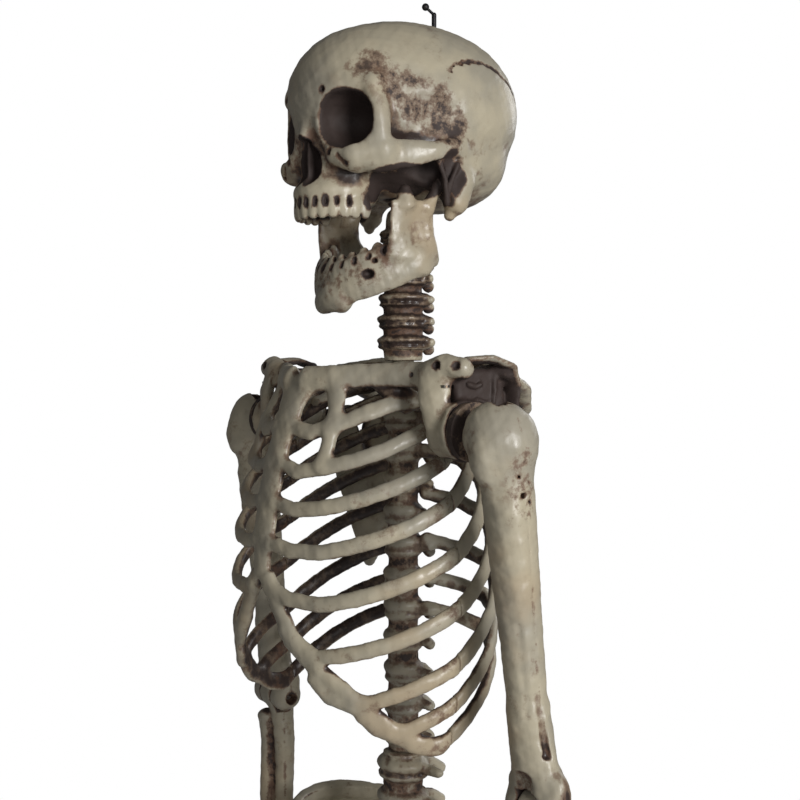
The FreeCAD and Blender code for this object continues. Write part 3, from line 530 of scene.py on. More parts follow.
def skull_field():
    field = Field((-76, -96, 1368), (76, 94, 1530), 1.2)
    add, cut, stain = field.add, field.cut, field.stain
    add(egg((0, -18, 1458), (61, 67, 60)), 1)
    add(egg((0, 15, 1457), (69, 73, 62.5)), 18)
    add(egg((0, -44, 1466), (52, 41, 40)), 12)
    add(egg((0, 30, 1417), (54, 45, 29)), 14)
    add(both(egg((48, 0, 1414), (14, 30, 22))), 10)
    brow = [(48, -60, 1464), (30, -73, 1463), (10, -78, 1459)]
    brow += [(-x, y, z) for x, y, z in reversed(brow)]
    add(tube(brow, [5, 5.5, 6, 6, 5.5, 5]), 8)
    add(egg((0, -55, 1418), (31, 26, 34)), 10)
    add(egg((0, -58, 1394), (29, 30, 16)), 8)
    cut(both(egg((51, -34, 1390), (26, 33, 21))), 3, 1.3)
    cut(both(egg((50, -20, 1408), (12.5, 18, 12))), 3, 1.3)
    add(both(tube([(27, -72, 1418), (40, -66, 1416), (52, -53, 1416)], [9, 12, 10])), 6)
    add(both(tube([(53, -55, 1422), (55, -58, 1440), (51, -60, 1462)], [8, 6.5, 6])), 6)
    add(both(band([(50, -56, 1415), (60, -38, 1417), (66, -20, 1420), (65, -6, 1423), (60, 6, 1426)],
                  [11, 9.5, 7, 6, 7], [5.5, 4, 3.6, 4.4, 6], (1, -0.2, 0))), 4)
    cut(both(egg((76, -27, 1443), (16, 30, 19))), 6)
    stain(both(tube([(60, -50, 1463), (66, -28, 1451), (67, -5, 1437)], [8, 15, 12])), 0.62, 9)
    # Darkens the space under the cheekbone arch, between the upper teeth and the ear, to near black.
    stain(both(slab((40, -26, 1398), (22, 20, 9), 4)), 1.1, 4)
    stain(both(egg((60, -40, 1464), (14, 14, 8))), 0.46, 8)
    stain(both(egg((46, -60, 1474), (12, 12, 10))), 0.42, 8)
    add(both(tube([(55, 8, 1402), (54, 7, 1388), (51, 4, 1379)], [12, 9, 4])), 6)
    cut(both(egg((70, -5, 1401), (11, 11, 20))), 2.5, 1.3)
    add(both(tube([(62, -14, 1416), (63, -9, 1402), (60, -5, 1386)], 2.0)), 2)
    add(both(tube([(63, 2, 1413), (63, -3, 1402), (60, -5, 1388)], 1.8)), 2)
    add(both(ring((34, -66, 1440), 22.5, 4.5, (0.5, -1, 0.05), 1.3)), 5)
    add(tube([(0, -72, 1452), (0, -79, 1438), (0, -85, 1429)], [8, 6.5, 4.5]), 5)
    cut(both(egg((38, -76, 1440), (21, 30, 19), 22)), 3, 1.3)
    cut(both(egg((6, -86, 1412), (7.5, 20, 13))), 2, 1.3)
    cut(egg((0, -88, 1422), (6.5, 20, 10)), 2, 1.3)
    add(slab((0, -70, 1413), (1.0, 11, 17), 0.8), 1)
    stain(both(tube([(12, -80, 1432), (18, -79, 1420), (22, -78, 1406)], 3)), 0.5, 6)
    cut(both(egg((27, -82, 1419), (2.2, 6, 2))), 1, 0.9)
    cut(both(egg((24, -82, 1461), (1.7, 6, 1.7))), 0.8, 0.9)
    cut(both(tube([(29, -83, 1413), (37, -77, 1404), (46, -67, 1401)], [1.2, 1.8, 1.2])), 1.5, 0.8)
    cut(both(tube([(35, -79, 1416), (40, -76, 1409), (44, -73, 1412)], 1.1)), 1.2, 0.7)
    cut(egg((0, -48, 1376), (20, 27, 10)), 4, 0.95)
    cut(slab((0, 10, 1371), (32, 50, 12), 4), 6, 0.6)
    cut(egg((0, 0, 1386), (17, 17, 14)), 4, 0.9)
    cut(disc(PIVOT["head_nod"], 12, 16), 2, 0.9)
    add(upper_teeth(), 1.8)
    cut(slab((0, -60, 1364), (50, 50, 11), 1), 1.5)
    add(egg((0, 84, 1434), (9, 5, 6)), 5)
    add(egg((0, -2, CROWN - 3), (6, 6, 3)), 4)
    field.roughen(0.35, 26, 3)
    for line in sutures():
        cut(line, 0.8, 0.95)
    for tooth in range(11):
        angle = math.radians(-75 + 15 * tooth)
        x, y = 28 * math.sin(angle), -56 - 32 * math.cos(angle)
        cut(egg((x, y, 1386.5), (1.0, 3, 2.8), math.degrees(angle)), 0.8, 1.3)
    return field


def upper_teeth():
    """Teeth round the upper arch, the front ones broad and flat."""
    teeth = []
    for number in range(14):
        angle = math.radians(-97.5 + 15 * number)
        x, y = 27 * math.sin(angle), -55 - 30 * math.cos(angle)
        teeth += egg((x, y, 1383), (4.9, 3.1, 9), math.degrees(angle))
    return teeth


def sutures():
    """Wandering cracks that join the plates of the skull."""
    routes = [[(67, -14, 1464), (67, -8, 1474), (66, -3, 1481), (63, 10, 1485), (60, 25, 1486), (56, 40, 1481),
               (50, 54, 1474), (44, 64, 1462), (38, 72, 1448)], [(66, -10, 1478), (64, -14, 1484)],
               [(60, -34, 1474), (56, -38, 1486)],]
    lines = []
    for route in routes:
        for sign in (1, -1):
            points = []
            for (x, y, z), (x2, y2, z2) in zip(route, route[1:]):
                for step in range(4):
                    share = step / 4
                    wander = 0.9 * math.sin(2.7 * len(points))
                    points.append(on_braincase(sign * (x + (x2 - x) * share), y + (y2 - y) * share + wander,
                            z + (z2 - z) * share - wander))
            lines.append(tube(points, 1.0))
    return lines


def on_braincase(x, y, z):
    """The point of the braincase's surface straight out from its middle through a point."""
    middle, radii = np.array([0, 15, 1457]), np.array([69, 73, 62.5])
    way = np.array([x, y, z]) - middle
    return middle + way / np.linalg.norm(way / radii)


def jaw_path():
    """The lower jaw's centre line from its right corner round the chin to its left corner."""
    points = []
    for step in range(33):
        angle = math.radians(-100 + 200 * step / 32)
        x, y = 45 * math.sin(angle), -17 - 45 * math.cos(angle)
        points.append(np.array([x, y, 1352 + 0.5 * (y + 20)]))
    return points


def jaw_field():
    field = Field((-60, -82, 1304), (60, 10, 1408), 1.05)
    add, cut, stain = field.add, field.cut, field.stain
    add(jaw_wall(jaw_path()), 1)
    add(egg((0, -62, 1321), (14, 7.5, 9)), 7)
    add(both(egg((12, -60, 1317), (7, 6, 6))), 5)
    add(both(band([(44, -27, 1350), (47, -26, 1366), (48, -26, 1385)], [17, 18, 18], [5, 4, 3.4], (1, 0, 0))), 5)
    add(both(band([(46, -18, 1342), (46, -16, 1350)], [9, 9], [5.5, 5], (1, 0, 0))), 4)
    add(both(tube([(48, -13, 1384), (49, -8, 1393), (50, -5, 1399)], [5, 3.8, 5.2])), 3)
    add(both(tube([(48, -31, 1384), (48, -32, 1390), (48, -32, 1394)], [7, 5.6, 4])), 3)
    cut(both(egg((48, -21, 1400), (9, 7, 9))), 2)
    cut(both(egg((54.5, -24, 1368), (6.5, 12, 14))), 4)
    # Darkens the jaw's upper end, where it rises under the cheekbone arch, to near black.
    stain(both(egg((48, -20, 1404), (12, 26, 14))), 1.0, 3)
    cut(both(egg((34, -53, 1337), (4, 5, 2.6), 40)), 1.2, 1.0)
    cut(both(egg((37, -50, 1346), (1.8, 5, 1.6), 40)), 0.8, 0.9)
    add(lower_teeth(), 1.8)
    stain(both(tube([(0, -66, 1332), (26, -56, 1336), (40, -38, 1352)], 6)), 0.36, 10)
    field.roughen(0.35, 20, 7)
    for step in range(7, 26, 2):
        x, y, z = jaw_path()[step]
        out = unit((x, 1.1 * (y + 17), 0))
        cut(egg((x + 4 * out[0], y + 4 * out[1], z + 12), (1.5, 2.6, 2.6), 6.25 * step - 100), 0.6, 1.0)
    return field


def jaw_wall(path):
    """The tall thin wall of the jaw's body: flattened lengths that stand upright round the arch."""
    walls = []
    for a, b in zip(path, path[1:]):
        outward = unit(np.array([b[1] - a[1], a[0] - b[0], 0.0]))
        walls += band([a, b], 15.5, 5.4, outward)
    return walls


def lower_teeth():
    teeth = []
    for step in range(6, 27, 2):
        x, y, z = jaw_path()[step]
        teeth += egg((0.95 * x, 0.97 * y, z + 13), (4.6, 3.4, 7.5), 6.25 * step - 100)
    return teeth


def build_head():
    bone("skull_skin", skull_field(), "skull", "skull_shell", "skull_base", "hook_fasteners", "nod_pin")
    bone("mandible_skin", jaw_field(), "jaw", "mandible")


# -------- spine

def vertebra(field, z, girth, tall, spine=26, wings=0):
    """One neck, chest or loin bone: a waisted drum with a lip, a spine behind and wings at the sides."""
    field.add(egg((0, 0, z + tall * 0.12), (girth, girth * 0.92, tall * 0.34)), 1.5)
    field.add(egg((0, 0, z - tall * 0.2), (girth * 0.93, girth * 0.88, tall * 0.22)), 2.5)
    field.add(tube([(0, 0, z - tall * 0.5), (0, 0, z + tall * 0.5)], girth * 0.7), 1)
    if spine:
        process = [(0, girth * 0.6, z), (0, spine * 0.75, z - tall * 0.05), (0, spine, z - tall * 0.3)]
        field.add(tube(process, [5.5, 4, 4.4]), 3)
    wing = [(girth * 0.6, girth * 0.4, z), (girth * 0.85 + wings, girth * 0.55, z)]
    field.add(both(tube(wing, [4.5, 3.2])), 3)
    field.stain(slab((0, 0, z - tall * 0.5), (girth * 1.1, girth * 1.4, tall * 0.1), 1), 0.6, tall * 0.12)


def neck_field():
    field = Field((-28, -24, NECK_FOOT - 2), (28, 36, NOD + 8), 1.1)
    count = 6
    tall = (NOD - 6 - NECK_FOOT) / count
    for number in range(count):
        vertebra(field, NECK_FOOT + tall * (number + 0.5), 20.5 - 0.4 * number, tall, 23, 2)
    field.add(tube([(-7, 0, NOD), (7, 0, NOD)], 8.5), 3)
    field.roughen(0.4, 14, 11)
    return field


def lumbar_field():
    field = Field((-42, -26, 862), (42, 40, WAIST + 1), 1.2)
    count = 5
    tall = (WAIST - 868) / count
    for number in range(count):
        vertebra(field, 868 + tall * (number + 0.5), 20.5, tall, 34, 12)
    field.keep_inside(slab((0, 0, (862 + WAIST) / 2), (60, 60, (WAIST - 862) / 2), 1), 1)
    field.roughen(0.4, 16, 12)
    return field


# -------- rib cage

CAGE = np.array([0, -37, 1110])
CAGE_HALF = np.array([118, 85, 190])
SPLIT = -36.0              # the front and rear shells meet at this y


def cage_point(angle, z, inset=4.0):
    """A point on the cage: angle 0 is the back, 90 the figure's left, 180 the front."""
    level = math.sqrt(max(1 - ((z - CAGE[2]) / CAGE_HALF[2]) ** 2, 0.05))
    a = math.radians(angle)
    across, deep = (CAGE_HALF[:2] - inset) * level
    return np.array([across * math.sin(a), CAGE[1] + deep * math.cos(a), z])


def cage_points(*places):
    return [cage_point(angle, z) for angle, z in places]


def rib_height(side_height, y):
    """A rib falls steeply behind the cage's middle and more gently before it."""
    fall = 0.78 if y > SPLIT else 0.46
    return side_height + fall * (y - SPLIT)


def rib_points(side_height, first, last, steps):
    points = []
    for step in range(steps + 1):
        angle = first + (last - first) * step / steps
        z = side_height
        for _ in range(3):
            z = rib_height(side_height, cage_point(angle, z)[1])
        points.append(cage_point(angle, z))
    return points


def rib(points, wide, thin):
    """A rib's flattened lengths, thin across the cage's wall."""
    lengths = []
    count = len(points) - 1
    for number, (a, b) in enumerate(zip(points, points[1:])):
        middle = (a + b) / 2 - CAGE
        outward = unit(middle / CAGE_HALF ** 2)
        breadth = [wide[0] + (wide[1] - wide[0]) * step / count for step in (number, number + 1)]
        lengths += band([a, b], breadth, thin, outward)
    return lengths


RIB_HEIGHTS = [1235, 1211, 1184, 1151, 1116, 1080, 1053, 1030]


def rear_cage_field():
    field = Field((-122, -46, 984), (122, 52, 1286), 1.5)
    count = 12
    tall = (1270 - (WAIST + 1)) / count
    for number in range(count):
        vertebra(field, WAIST + 1 + tall * (number + 0.5), 15.5, tall, 24, 8)
    for number, height in enumerate(RIB_HEIGHTS):
        wall = rib_points(height, 26, 92, 9)
        start = np.array([17, 9, min(wall[0][2] + 12, 1262)])
        turn = np.array([34, 27, wall[0][2] + 6])
        chain = [start, turn] + wall
        field.add(both(tube(chain[:3], [5, 5, 5.5]) + rib(wall, (5.4, 5.6), 3.6)), 3)
    top = [(16, 8, 1262), (36, 20, 1262), (60, 6, 1256), (70, -20, 1250), (66, SPLIT - 2, 1246)]
    field.add(both(band(top, 7, 3.5, (0, 0.2, 1))), 3)
    field.add(both(tube([(14, 22, 1252), (34, 28, 1270), (64, 24, 1277), (98, 6, 1272)], [4.2, 4, 3.6, 3.6])), 3)
    field.roughen(0.4, 22, 5)
    field.cut(slab((0, SPLIT - 20, 1130), (130, 20, 160), 0.3), 0.3)
    field.cut(slab((0, 0, WAIST - 9), (40, 40, 10), 0.3), 0.3)
    return field


def front_cage_field():
    field = Field((-122, -128, 1014), (122, SPLIT + 6, 1284), 1.5)
    add = field.add
    sternum = [cage_point(180, z, 3.5) for z in (1132, 1160, 1190, 1220, 1246, 1262)]
    add(band(sternum, [8, 13, 13, 12.5, 15, 19], [3.5, 4, 4.2, 4.4, 5, 6], (0, -1, 0.1)), 2)
    ends = {0: (150, (164, 1203), (175, 1207)), 1: (150, (164, 1178), (175, 1181)),
            2: (150, (164, 1151), (175, 1154)), 3: (150, (164, 1119), (175, 1125)),
            4: (150, (160, 1088), (166, 1098)), 5: (136, (146, 1058), (153, 1069)),
            6: (118, (126, 1040), (132, 1048)), 7: (98, (104, 1029), (110, 1031))}
    for number, (last, *joins) in ends.items():
        chain = rib_points(RIB_HEIGHTS[number], 88, last, 9) + cage_points(*joins)
        add(both(rib(chain, (5.5, 5.2), 3.8)), 3)
    first = cage_points((174, 1232), (160, 1229), (145, 1235), (128, 1243), (112, 1249), (96, 1251))
    add(both(rib(first, (5.4, 6.5), 3.8)), 3)
    strut = cage_points((149, 1262), (147, 1244), (149, 1226), (151, 1207))
    add(both(band(strut, [9, 6, 5.5, 6], 3.8, (0.45, -1, 0.1))), 4)
    margin = cage_points((176, 1130), (163, 1094), (150, 1074), (136, 1058), (120, 1040), (106, 1028), (94, 1026))
    add(both(rib(margin, (7.2, 6.6), 3.9)), 3)
    add(both(band([(60, -60, 1266), (68, -54, 1256), (72, -44, 1248)], [9, 9, 8], [4, 4, 4], (0.6, -1, 0.1))), 4)
    collar = [(10, -88, 1264), (34, -80, 1266), (62, -62, 1268), (88, -50, 1268), (100, -50, 1266)]
    add(both(band(collar, [10, 8.5, 8, 9, 10], [6, 5, 4.6, 4.8, 4.5], (0.3, -1, 0.2))), 3)
    field.roughen(0.4, 22, 6)
    field.stain(slab((0, SPLIT - 6, 1130), (125, 5, 150)), 0.32, 14)
    field.cut(slab((0, SPLIT + 20.6, 1130), (130, 20, 160), 0.3), 0.3)
    for x in (88, 97):
        field.cut(both(egg((x, -57, 1268), (1.8, 5, 1.8))), 0.6)
    return field


def scapula_field():
    field = Field((46, -68, 1100), (150, 52, 1288), 1.3)
    add, cut = field.add, field.cut
    blade = (([(62, 38, 1236), (66, 36, 1196), (74, 30, 1150), (80, 24, 1122)], [10, 14, 12, 6], [3.2, 2.8, 2.8, 3],
              -0.35),
              ([(80, 34, 1240), (84, 30, 1200), (84, 24, 1156), (80, 22, 1124)], [14, 16, 12, 6], [3, 2.6, 2.6, 3],
               -0.5),
               ([(104, 8, 1238), (100, 14, 1206), (92, 18, 1164), (82, 22, 1126)], [14, 14, 10, 5], [3.6, 3, 3, 3],
                -0.9))
    for points, wide, thin, lean in blade:
        add(band(points, wide, thin, (lean, -1, 0.1)), 5)
    add(tube([(60, 40, 1244), (64, 39, 1196), (76, 30, 1140), (82, 24, 1118)], [4, 4, 4, 4.5]), 4)
    add(band([(66, 42, 1228), (88, 38, 1246), (106, 20, 1260), (118, -8, 1270)], [6, 8, 10, 12], [5, 5, 4.5, 4.4],
             (0, 0.6, 1)), 5)
    add(slab((111, -22, 1250), (9, 20, 22), 4), 3)
    add(tube([(106, -20, 1236), (106, -44, 1240)], [14, 9]), 5)
    add(band([(108, -50, 1268), (110, -53, 1254), (112, -52, 1236), (110, -46, 1220)], [12, 11, 8, 5], [5, 5.4, 5, 4],
             (0.6, -1, 0.1)), 4)
    add(tube([(108, -38, 1230), (124, -38, 1232)], [16, 20]), 4)
    cut(tube([(124, -38, 1232), (140, -38, 1232)], [15.5, 19.5]), 2, 1.0)
    cut(egg((134, -38, 1234), (11, 23, 26)), 3, 1.0)
    field.stain(slab((116, -20, 1240), (13, 25, 36)), 1.05, 3)
    add(tube([(96, -48, 1270), (112, -46, 1273), (126, -42, 1272)], [7, 8.5, 7]), 4)
    add(band([(120, -34, 1277), (124, -18, 1278), (124, -5, 1274), (122, 1, 1262), (120, 2, 1246)], [9, 9, 9, 8, 7],
             [2.6, 2.6, 2.6, 2.6, 2.2], (0, 0.6, 1)), 2)
    for x in (110, 124):
        cut(egg((x + 3, -51, 1274), (2.6, 5, 2.6)), 1, 1.2)
    add(tube([(121, -34, 1262), (121, -28, 1260), (121, -24, 1262)], 1.8), 1)
    add(tube([(121, -12, 1266), (121, -13, 1250)], 1.6), 1)
    add(tube([(121, -34, 1248), (121, -26, 1252), (121, -20, 1250)], 1.7), 1)
    field.roughen(0.4, 18, 9)
    return field


def build_trunk():
    bone("neck_skin", neck_field(), "neck", "cervical_column")
    bone("rear_cage_skin", rear_cage_field(), "trunk", "rear_rib_shell", inward=CAGE)
    bone("front_cage_skin", front_cage_field(), "trunk", "front_rib_shell", inward=CAGE)
    pair("scapula", scapula_field(), "trunk", "scapula")
    bone("lumbar_skin", lumbar_field(), "pelvis", "lumbar_column")


# -------- arms

def hub_slot(field, centre, reach):
    """The slot in a limb's round head that lets the joint hub's lug swing from its inner side to its top."""
    x, y, z = centre
    field.cut(slab((x - 16, y, z + 20), (24.6, 6.6, 20.4), 0.3), 0.4, 0.8)
    field.cut(slab((x - 20, y, z - 4), (20.4, 6.6, 5), 0.3), 0.4, 0.8)
    field.cut(tube([(x, y - 6.4, z), (x, y + 6.4, z)], 8.4), 0.4, 0.8)
    field.cut(slab((x - reach - 20, y, z), (20, 40, 40), 0.3), 0.4)


def fork(field, centre, radius, inner, outer, rise):
    """Two rounded cheeks either side of a hinge, and the gap between them."""
    x, y, z = centre
    for sign in (1, -1):
        field.add(tube([(x + sign * (inner + 4), y, z), (x + sign * (outer - 4), y, z)],
                       radius - 1) + tube([(x + sign * (inner + 5), y, z), (x + sign * inner, y, z + rise)],
                                          radius - 3), 4)
        field.cut(tube([(x + sign * (outer + 1), y, z), (x + sign * (outer + 6), y, z)], 5), 1.5, 0.7)


def hinge_gap(field, centre, radius, inner):
    """Clears the space that a hinge's tongue turns in."""
    x, y, z = centre
    field.cut(slab((x, y, z - radius), (inner, radius + 1.5, radius + 1), 0.4), 0.4, 0.8)
    field.cut(disc(centre, radius + 1, inner), 0.4, 0.8)


def humerus_field():
    top, foot = PIVOT["shoulder_raise_left"], PIVOT["elbow_bend_left"]
    spot = lambda share, x=0, y=0, z=0: top + (foot - top) * share + (x, y, z)
    field = Field((128, -64, 978), (190, 12, 1258), 1.2)
    add, cut = field.add, field.cut
    add(egg(top, (21, 21, 21)), 1)
    add(egg(spot(0, 9, 3, -4), (15, 17, 19)), 6)
    add(egg(spot(0, 6, -15, -14), (9, 8, 14)), 5)
    add(tube([spot(0.04, 4), spot(0.15, 4), spot(0.3, 3), spot(0.55, 1), spot(0.75, 0), spot(0.88, 0)],
             [18, 16.5, 15.5, 13.5, 12.5, 12]), 10)
    add(tube([spot(0.2, 12, -6), spot(0.42, 9, -5)], [6, 4]), 8)
    add(band([spot(0.74, 0), spot(0.9, 0), spot(0.97, 0)], [13, 19, 19], [12, 10.5, 10], (0, 1, 0)), 6)
    fork(field, foot, 13, 8.6, 19, 20)
    add(egg(foot + (-19, 2, 12), (7, 8, 12)), 5)
    add(egg(foot + (19, 0, 12), (6, 7, 13)), 5)
    hinge_gap(field, foot, 14, 8.7)
    hub_slot(field, top, 18)
    for pit in range(11):
        at = spot(0.02 + 0.017 * pit, 18.5 - 0.25 * pit, 3.6 * math.sin(2.3 * pit), 0)
        cut(egg(at, (3.4, 1.3 + 0.4 * (pit % 3), 1.6)), 1.2, 0.8)
    cut(tube([spot(0.5, 12.5, -10.5), spot(0.74, 10.5, -10.5)], [1.6, 1.6]), 2.5, 0.16)
    cut(tube([spot(0.56, 15.5, -3), spot(0.84, 14.5, -2)], [1.5, 1.7]), 2.5, 0.22)
    cut(egg(spot(0.93, 0, -12), (8, 4, 9)), 3, 0.6)
    cut(egg(spot(0.93, 0, 12), (10, 5, 10)), 3, 0.6)
    field.stain(egg(spot(0.12, 16, 0), (9, 8, 26)), 0.4, 7)
    slope = (foot[1] - top[1]) / (foot[2] - top[2])
    field.seam(top[1], slope, top[2])
    field.roughen(0.45, 24, 21)
    return field


def forearm_field():
    top, foot = PIVOT["elbow_bend_left"], PIVOT["wrist_bend_left"]
    field = Field((140, -36, 792), (194, 10, 1016), 1.1)
    field.add(tube(top + [(-5, 0, 0), (5, 0, 0)], 12.5), 1)
    field.add(tube([top + (-2, 3, -12), top + (-6, 4, -40), top + (-8, 3, -90), top + (-8, 1, -140),
                    foot + (-8, 0, 16)], [10, 8.5, 7, 6.2, 7]), 5)
    field.add(tube([top + (9, -3, -24), top + (9, -3, -42), top + (9, -3, -90), top + (9, -1, -140),
                    foot + (7, 0, 18)], [8.5, 6.4, 7.6, 7.4, 9.5]), 3)
    field.add(egg(top + (9, -3, -21), (9.5, 9.5, 5)), 2)
    field.add(band([top + (0, 0, -30), foot + (0, 0, 24)], [7, 7], [3.2, 3.2], (0, 1, 0)), 2)
    fork(field, foot, 9, 6.6, 15, 16)
    field.keep_inside(slab((top[0], top[1], (top[2] + foot[2]) / 2), (40, 40, 112), 1), 0.5)
    clear_cheeks(field, top, 14.5, 8.0)
    hinge_gap(field, foot, 9, 6.6)
    field.stain(band([top + (0, 0, -34), foot + (0, 0, 28)], [3, 3], [14, 14], (0, 1, 0)), 0.75, 3)
    field.seam(top[1])
    field.roughen(0.4, 18, 22)
    return field


def clear_cheeks(field, centre, radius, half):
    """Keeps a tongue's neighbours out of the space that the fork's cheeks turn in."""
    x, y, z = centre
    for sign in (1, -1):
        field.cut(disc((x + sign * (half + 20), y, z), radius, 20), 0.6, 0.4)


def digit(field, start, end, way, ends, soft):
    """A finger or toe bone: ends holds its radii at its root, middle and tip."""
    field.add(tube([start + way * 2, (start + end) / 2, end - way * 2], ends), soft)


def finger(field, start, way, runs, radii, knobs, bend):
    """A chain of bones from start along way, each thicker at its knobs and bent a little from the one before."""
    way = unit(way)
    for run, radius in zip(runs, radii):
        end = start + way * run
        digit(field, start, end, way, (radius + knobs[0], radius - 0.6, radius + knobs[1]), 1.2)
        start, way = end, unit(way + bend)


def hand_field():
    wrist = PIVOT["wrist_bend_left"]
    field = Field(wrist + (-22, -52, -172), wrist + (22, 44, 12), 1.1)
    field.add(tube(wrist + [(-2, 0, 0), (2, 0, 0)], 8.6), 1)
    field.add(band(wrist + [(0, 0, -4), (0, 0, -16)], [8, 15], [5.4, 6], (1, 0, 0)), 3)
    for row in range(2):
        for number in range(4):
            lump = wrist + (1.2 * (-1) ** number, -14 + 9.3 * number, -19 - 10 * row - 0.7 * (number - 1.5) ** 2)
            field.add(egg(lump, (7.5, 6, 6.4)), 2)
    lengths = ((46, 26, 16, 13), (45, 29, 18, 14), (42, 26, 17, 13), (39, 20, 13, 12))
    for side, runs in zip((-1.5, -0.5, 0.5, 1.5), lengths):
        finger(field, wrist + (0, 9.3 * side, -34), (0.06, 0.1 * side, -1), runs, (4.3, 4.0, 3.6, 3.2), (1.2, 1.0),
               (-0.1, 0, 0))
    finger(field, wrist + (-2, -18, -24), (-0.2, -0.55, -1), (32, 25, 20), (5, 4.4, 3.8), (1, 0.8), (0, 0.2, 0))
    field.keep_inside(slab(wrist + (0, 0, -85), (40, 60, 97), 1), 0.5)
    clear_cheeks(field, wrist, 9.8, 6.2)
    field.roughen(0.3, 11, 23)
    return field


# -------- pelvis and legs

def pelvis_field():
    hip = PIVOT["hip_swing_left"]
    bowl = np.array([0, hip[1], hip[2] + 70])
    crest = bowl[2] + 28
    near_hip = lambda x, y, z: (x, hip[1] + y, hip[2] + z)
    field = Field((-130, -82, 762), (130, 72, 944), 1.5)
    add, cut = field.add, field.cut
    add(egg(bowl, (119, 67, 89)), 0.5)
    cut(egg(bowl, (113, 61, 84)), 0.5)
    field.keep_inside(slab((0, 0, (hip[2] + 2 + crest) / 2), (140, 100, (crest - hip[2]) / 2), 1), 0.5)
    cut(egg((0, -76, crest + 4), (90, 52, 80)), 2)
    cut(slab((0, 50, crest), (24, 40, 66), 3), 2)
    rim = []
    for angle in range(22, 133, 10):
        a = math.radians(angle)
        drop = 10 * math.cos(math.radians((angle - 75) * 1.5))
        rim.append((113 * math.sin(a), bowl[1] + 63 * math.cos(a), crest - 12 + drop))
    add(both(tube(rim, [5] + [6.2] * (len(rim) - 2) + [7])), 5)
    add(both(tube([(102, -46, 905), (96, -50, 880), (84, -46, 866)], [7, 6, 7])), 5)
    cut(both(egg(hip, (38, 38, 38))), 2)
    add(egg((0, 34, 872), (29, 13, 30)), 6)
    add(tube([(0, 36, 850), (0, 42, 832), (0, 36, 812)], [18, 11, 6]), 6)
    add(slab((0, 12, 858), (20, 20, 7.5), 4), 4)
    add(both(band([(24, 38, 892), (50, 40, 898), (70, 34, 902)], [22, 22, 14], [9, 6, 4], (0.2, 1, 0))), 6)
    add(both(tube([near_hip(29, 0, 0), near_hip(45, 0, 0)], [18, 17])), 4)
    add(both(ring(near_hip(47, 0, 0), 15, 4.5, (1, 0, 0))), 3)
    add(both(tube([(36, 0, hip[2] + 14), (52, 14, hip[2] + 44), (70, 22, hip[2] + 66)], [14, 12, 6])), 8)
    add(both(tube([(36, 0, hip[2] + 14), (62, -30, hip[2] + 48), (82, -44, hip[2] + 60)], [13, 8, 6])), 8)
    add(both(tube([near_hip(38, -14, 2), near_hip(24, -24, -18), near_hip(7, -24, -34)], [10, 7.5, 8])), 5)
    add(both(tube([near_hip(40, 10, -8), near_hip(40, 10, -34), near_hip(34, -4, -52), near_hip(20, -18, -50),
                   near_hip(7, -25, -38)], [10, 10, 9, 6, 7])), 4)
    add(slab(near_hip(0, -22, -34), (6, 7, 13), 5), 3)
    for number in range(3):
        cut(both(egg((13 - 1.5 * number, 47, 886 - 14 * number), (3.4, 7, 3.4))), 1.5, 0.9)
    add(tube([(0, 46, 892), (0, 49, 876), (0, 50, 860), (0, 47, 846)], 3.4), 3)
    cut(both(disc(hip, 30, hip[0] - 51.5)), 0.5)
    cut(both(tube([near_hip(40, 0, 0), near_hip(60, 0, 0)], 4.6)), 0.5, 0.9)
    cut(slab((0, 0, 890), (21.5, 25.5, 23), 1), 0.5)
    field.roughen(0.5, 28, 31)
    return field


def femur_field():
    top, foot = PIVOT["hip_spread_left"], PIVOT["knee_bend_left"]
    field = Field((48, -36, 416), (118, 26, 856), 1.4)
    add, cut = field.add, field.cut
    add(egg(top, (18, 18, 18)), 1)
    add(tube(top + [(4, 0, -4), (18, 0, -16)], [14.5, 16]), 4)
    add(egg(top + (22, 0, -10), (12, 14, 17)), 5)
    add(tube([top + (15, 0, -34), top + (13, -1, -90), top + (8, -3, -220), foot + (0, -1, 74), foot + (0, 0, 36)],
             [15.5, 13.5, 12.8, 14.5, 19]), 8)
    add(egg(top + (6, 9, -46), (7, 7, 11)), 6)
    add(band(foot + [(0, 0, 70), (0, 0, 34), (0, 0, 20)], [15, 25, 26], [13, 14, 14], (0, 1, 0)), 6)
    fork(field, foot, 18.5, 11.6, 27, 24)
    add(egg(foot + (0, -25, 22), (14, 6, 14)), 3)
    cut(tube(foot + [(-30, 26, 22), (30, 26, 22)], 12.5), 2, 0.3)
    hinge_gap(field, foot, 19, 11.6)
    cut(slab(foot + (0, 21, 10), (11.6, 14, 17), 1), 1, 0.6)
    hub_slot(field, top, 16)
    cut(tube(foot + [(0, 19, 40), (0, 16, 78)], [7, 3]), 4, 0.5)
    cut(tube(top + [(8, 12, -90), (6, 10, -210)], [1.8, 1.8]), 1.5, 0.5)
    field.seam(top[1])
    field.roughen(0.5, 28, 32)
    return field


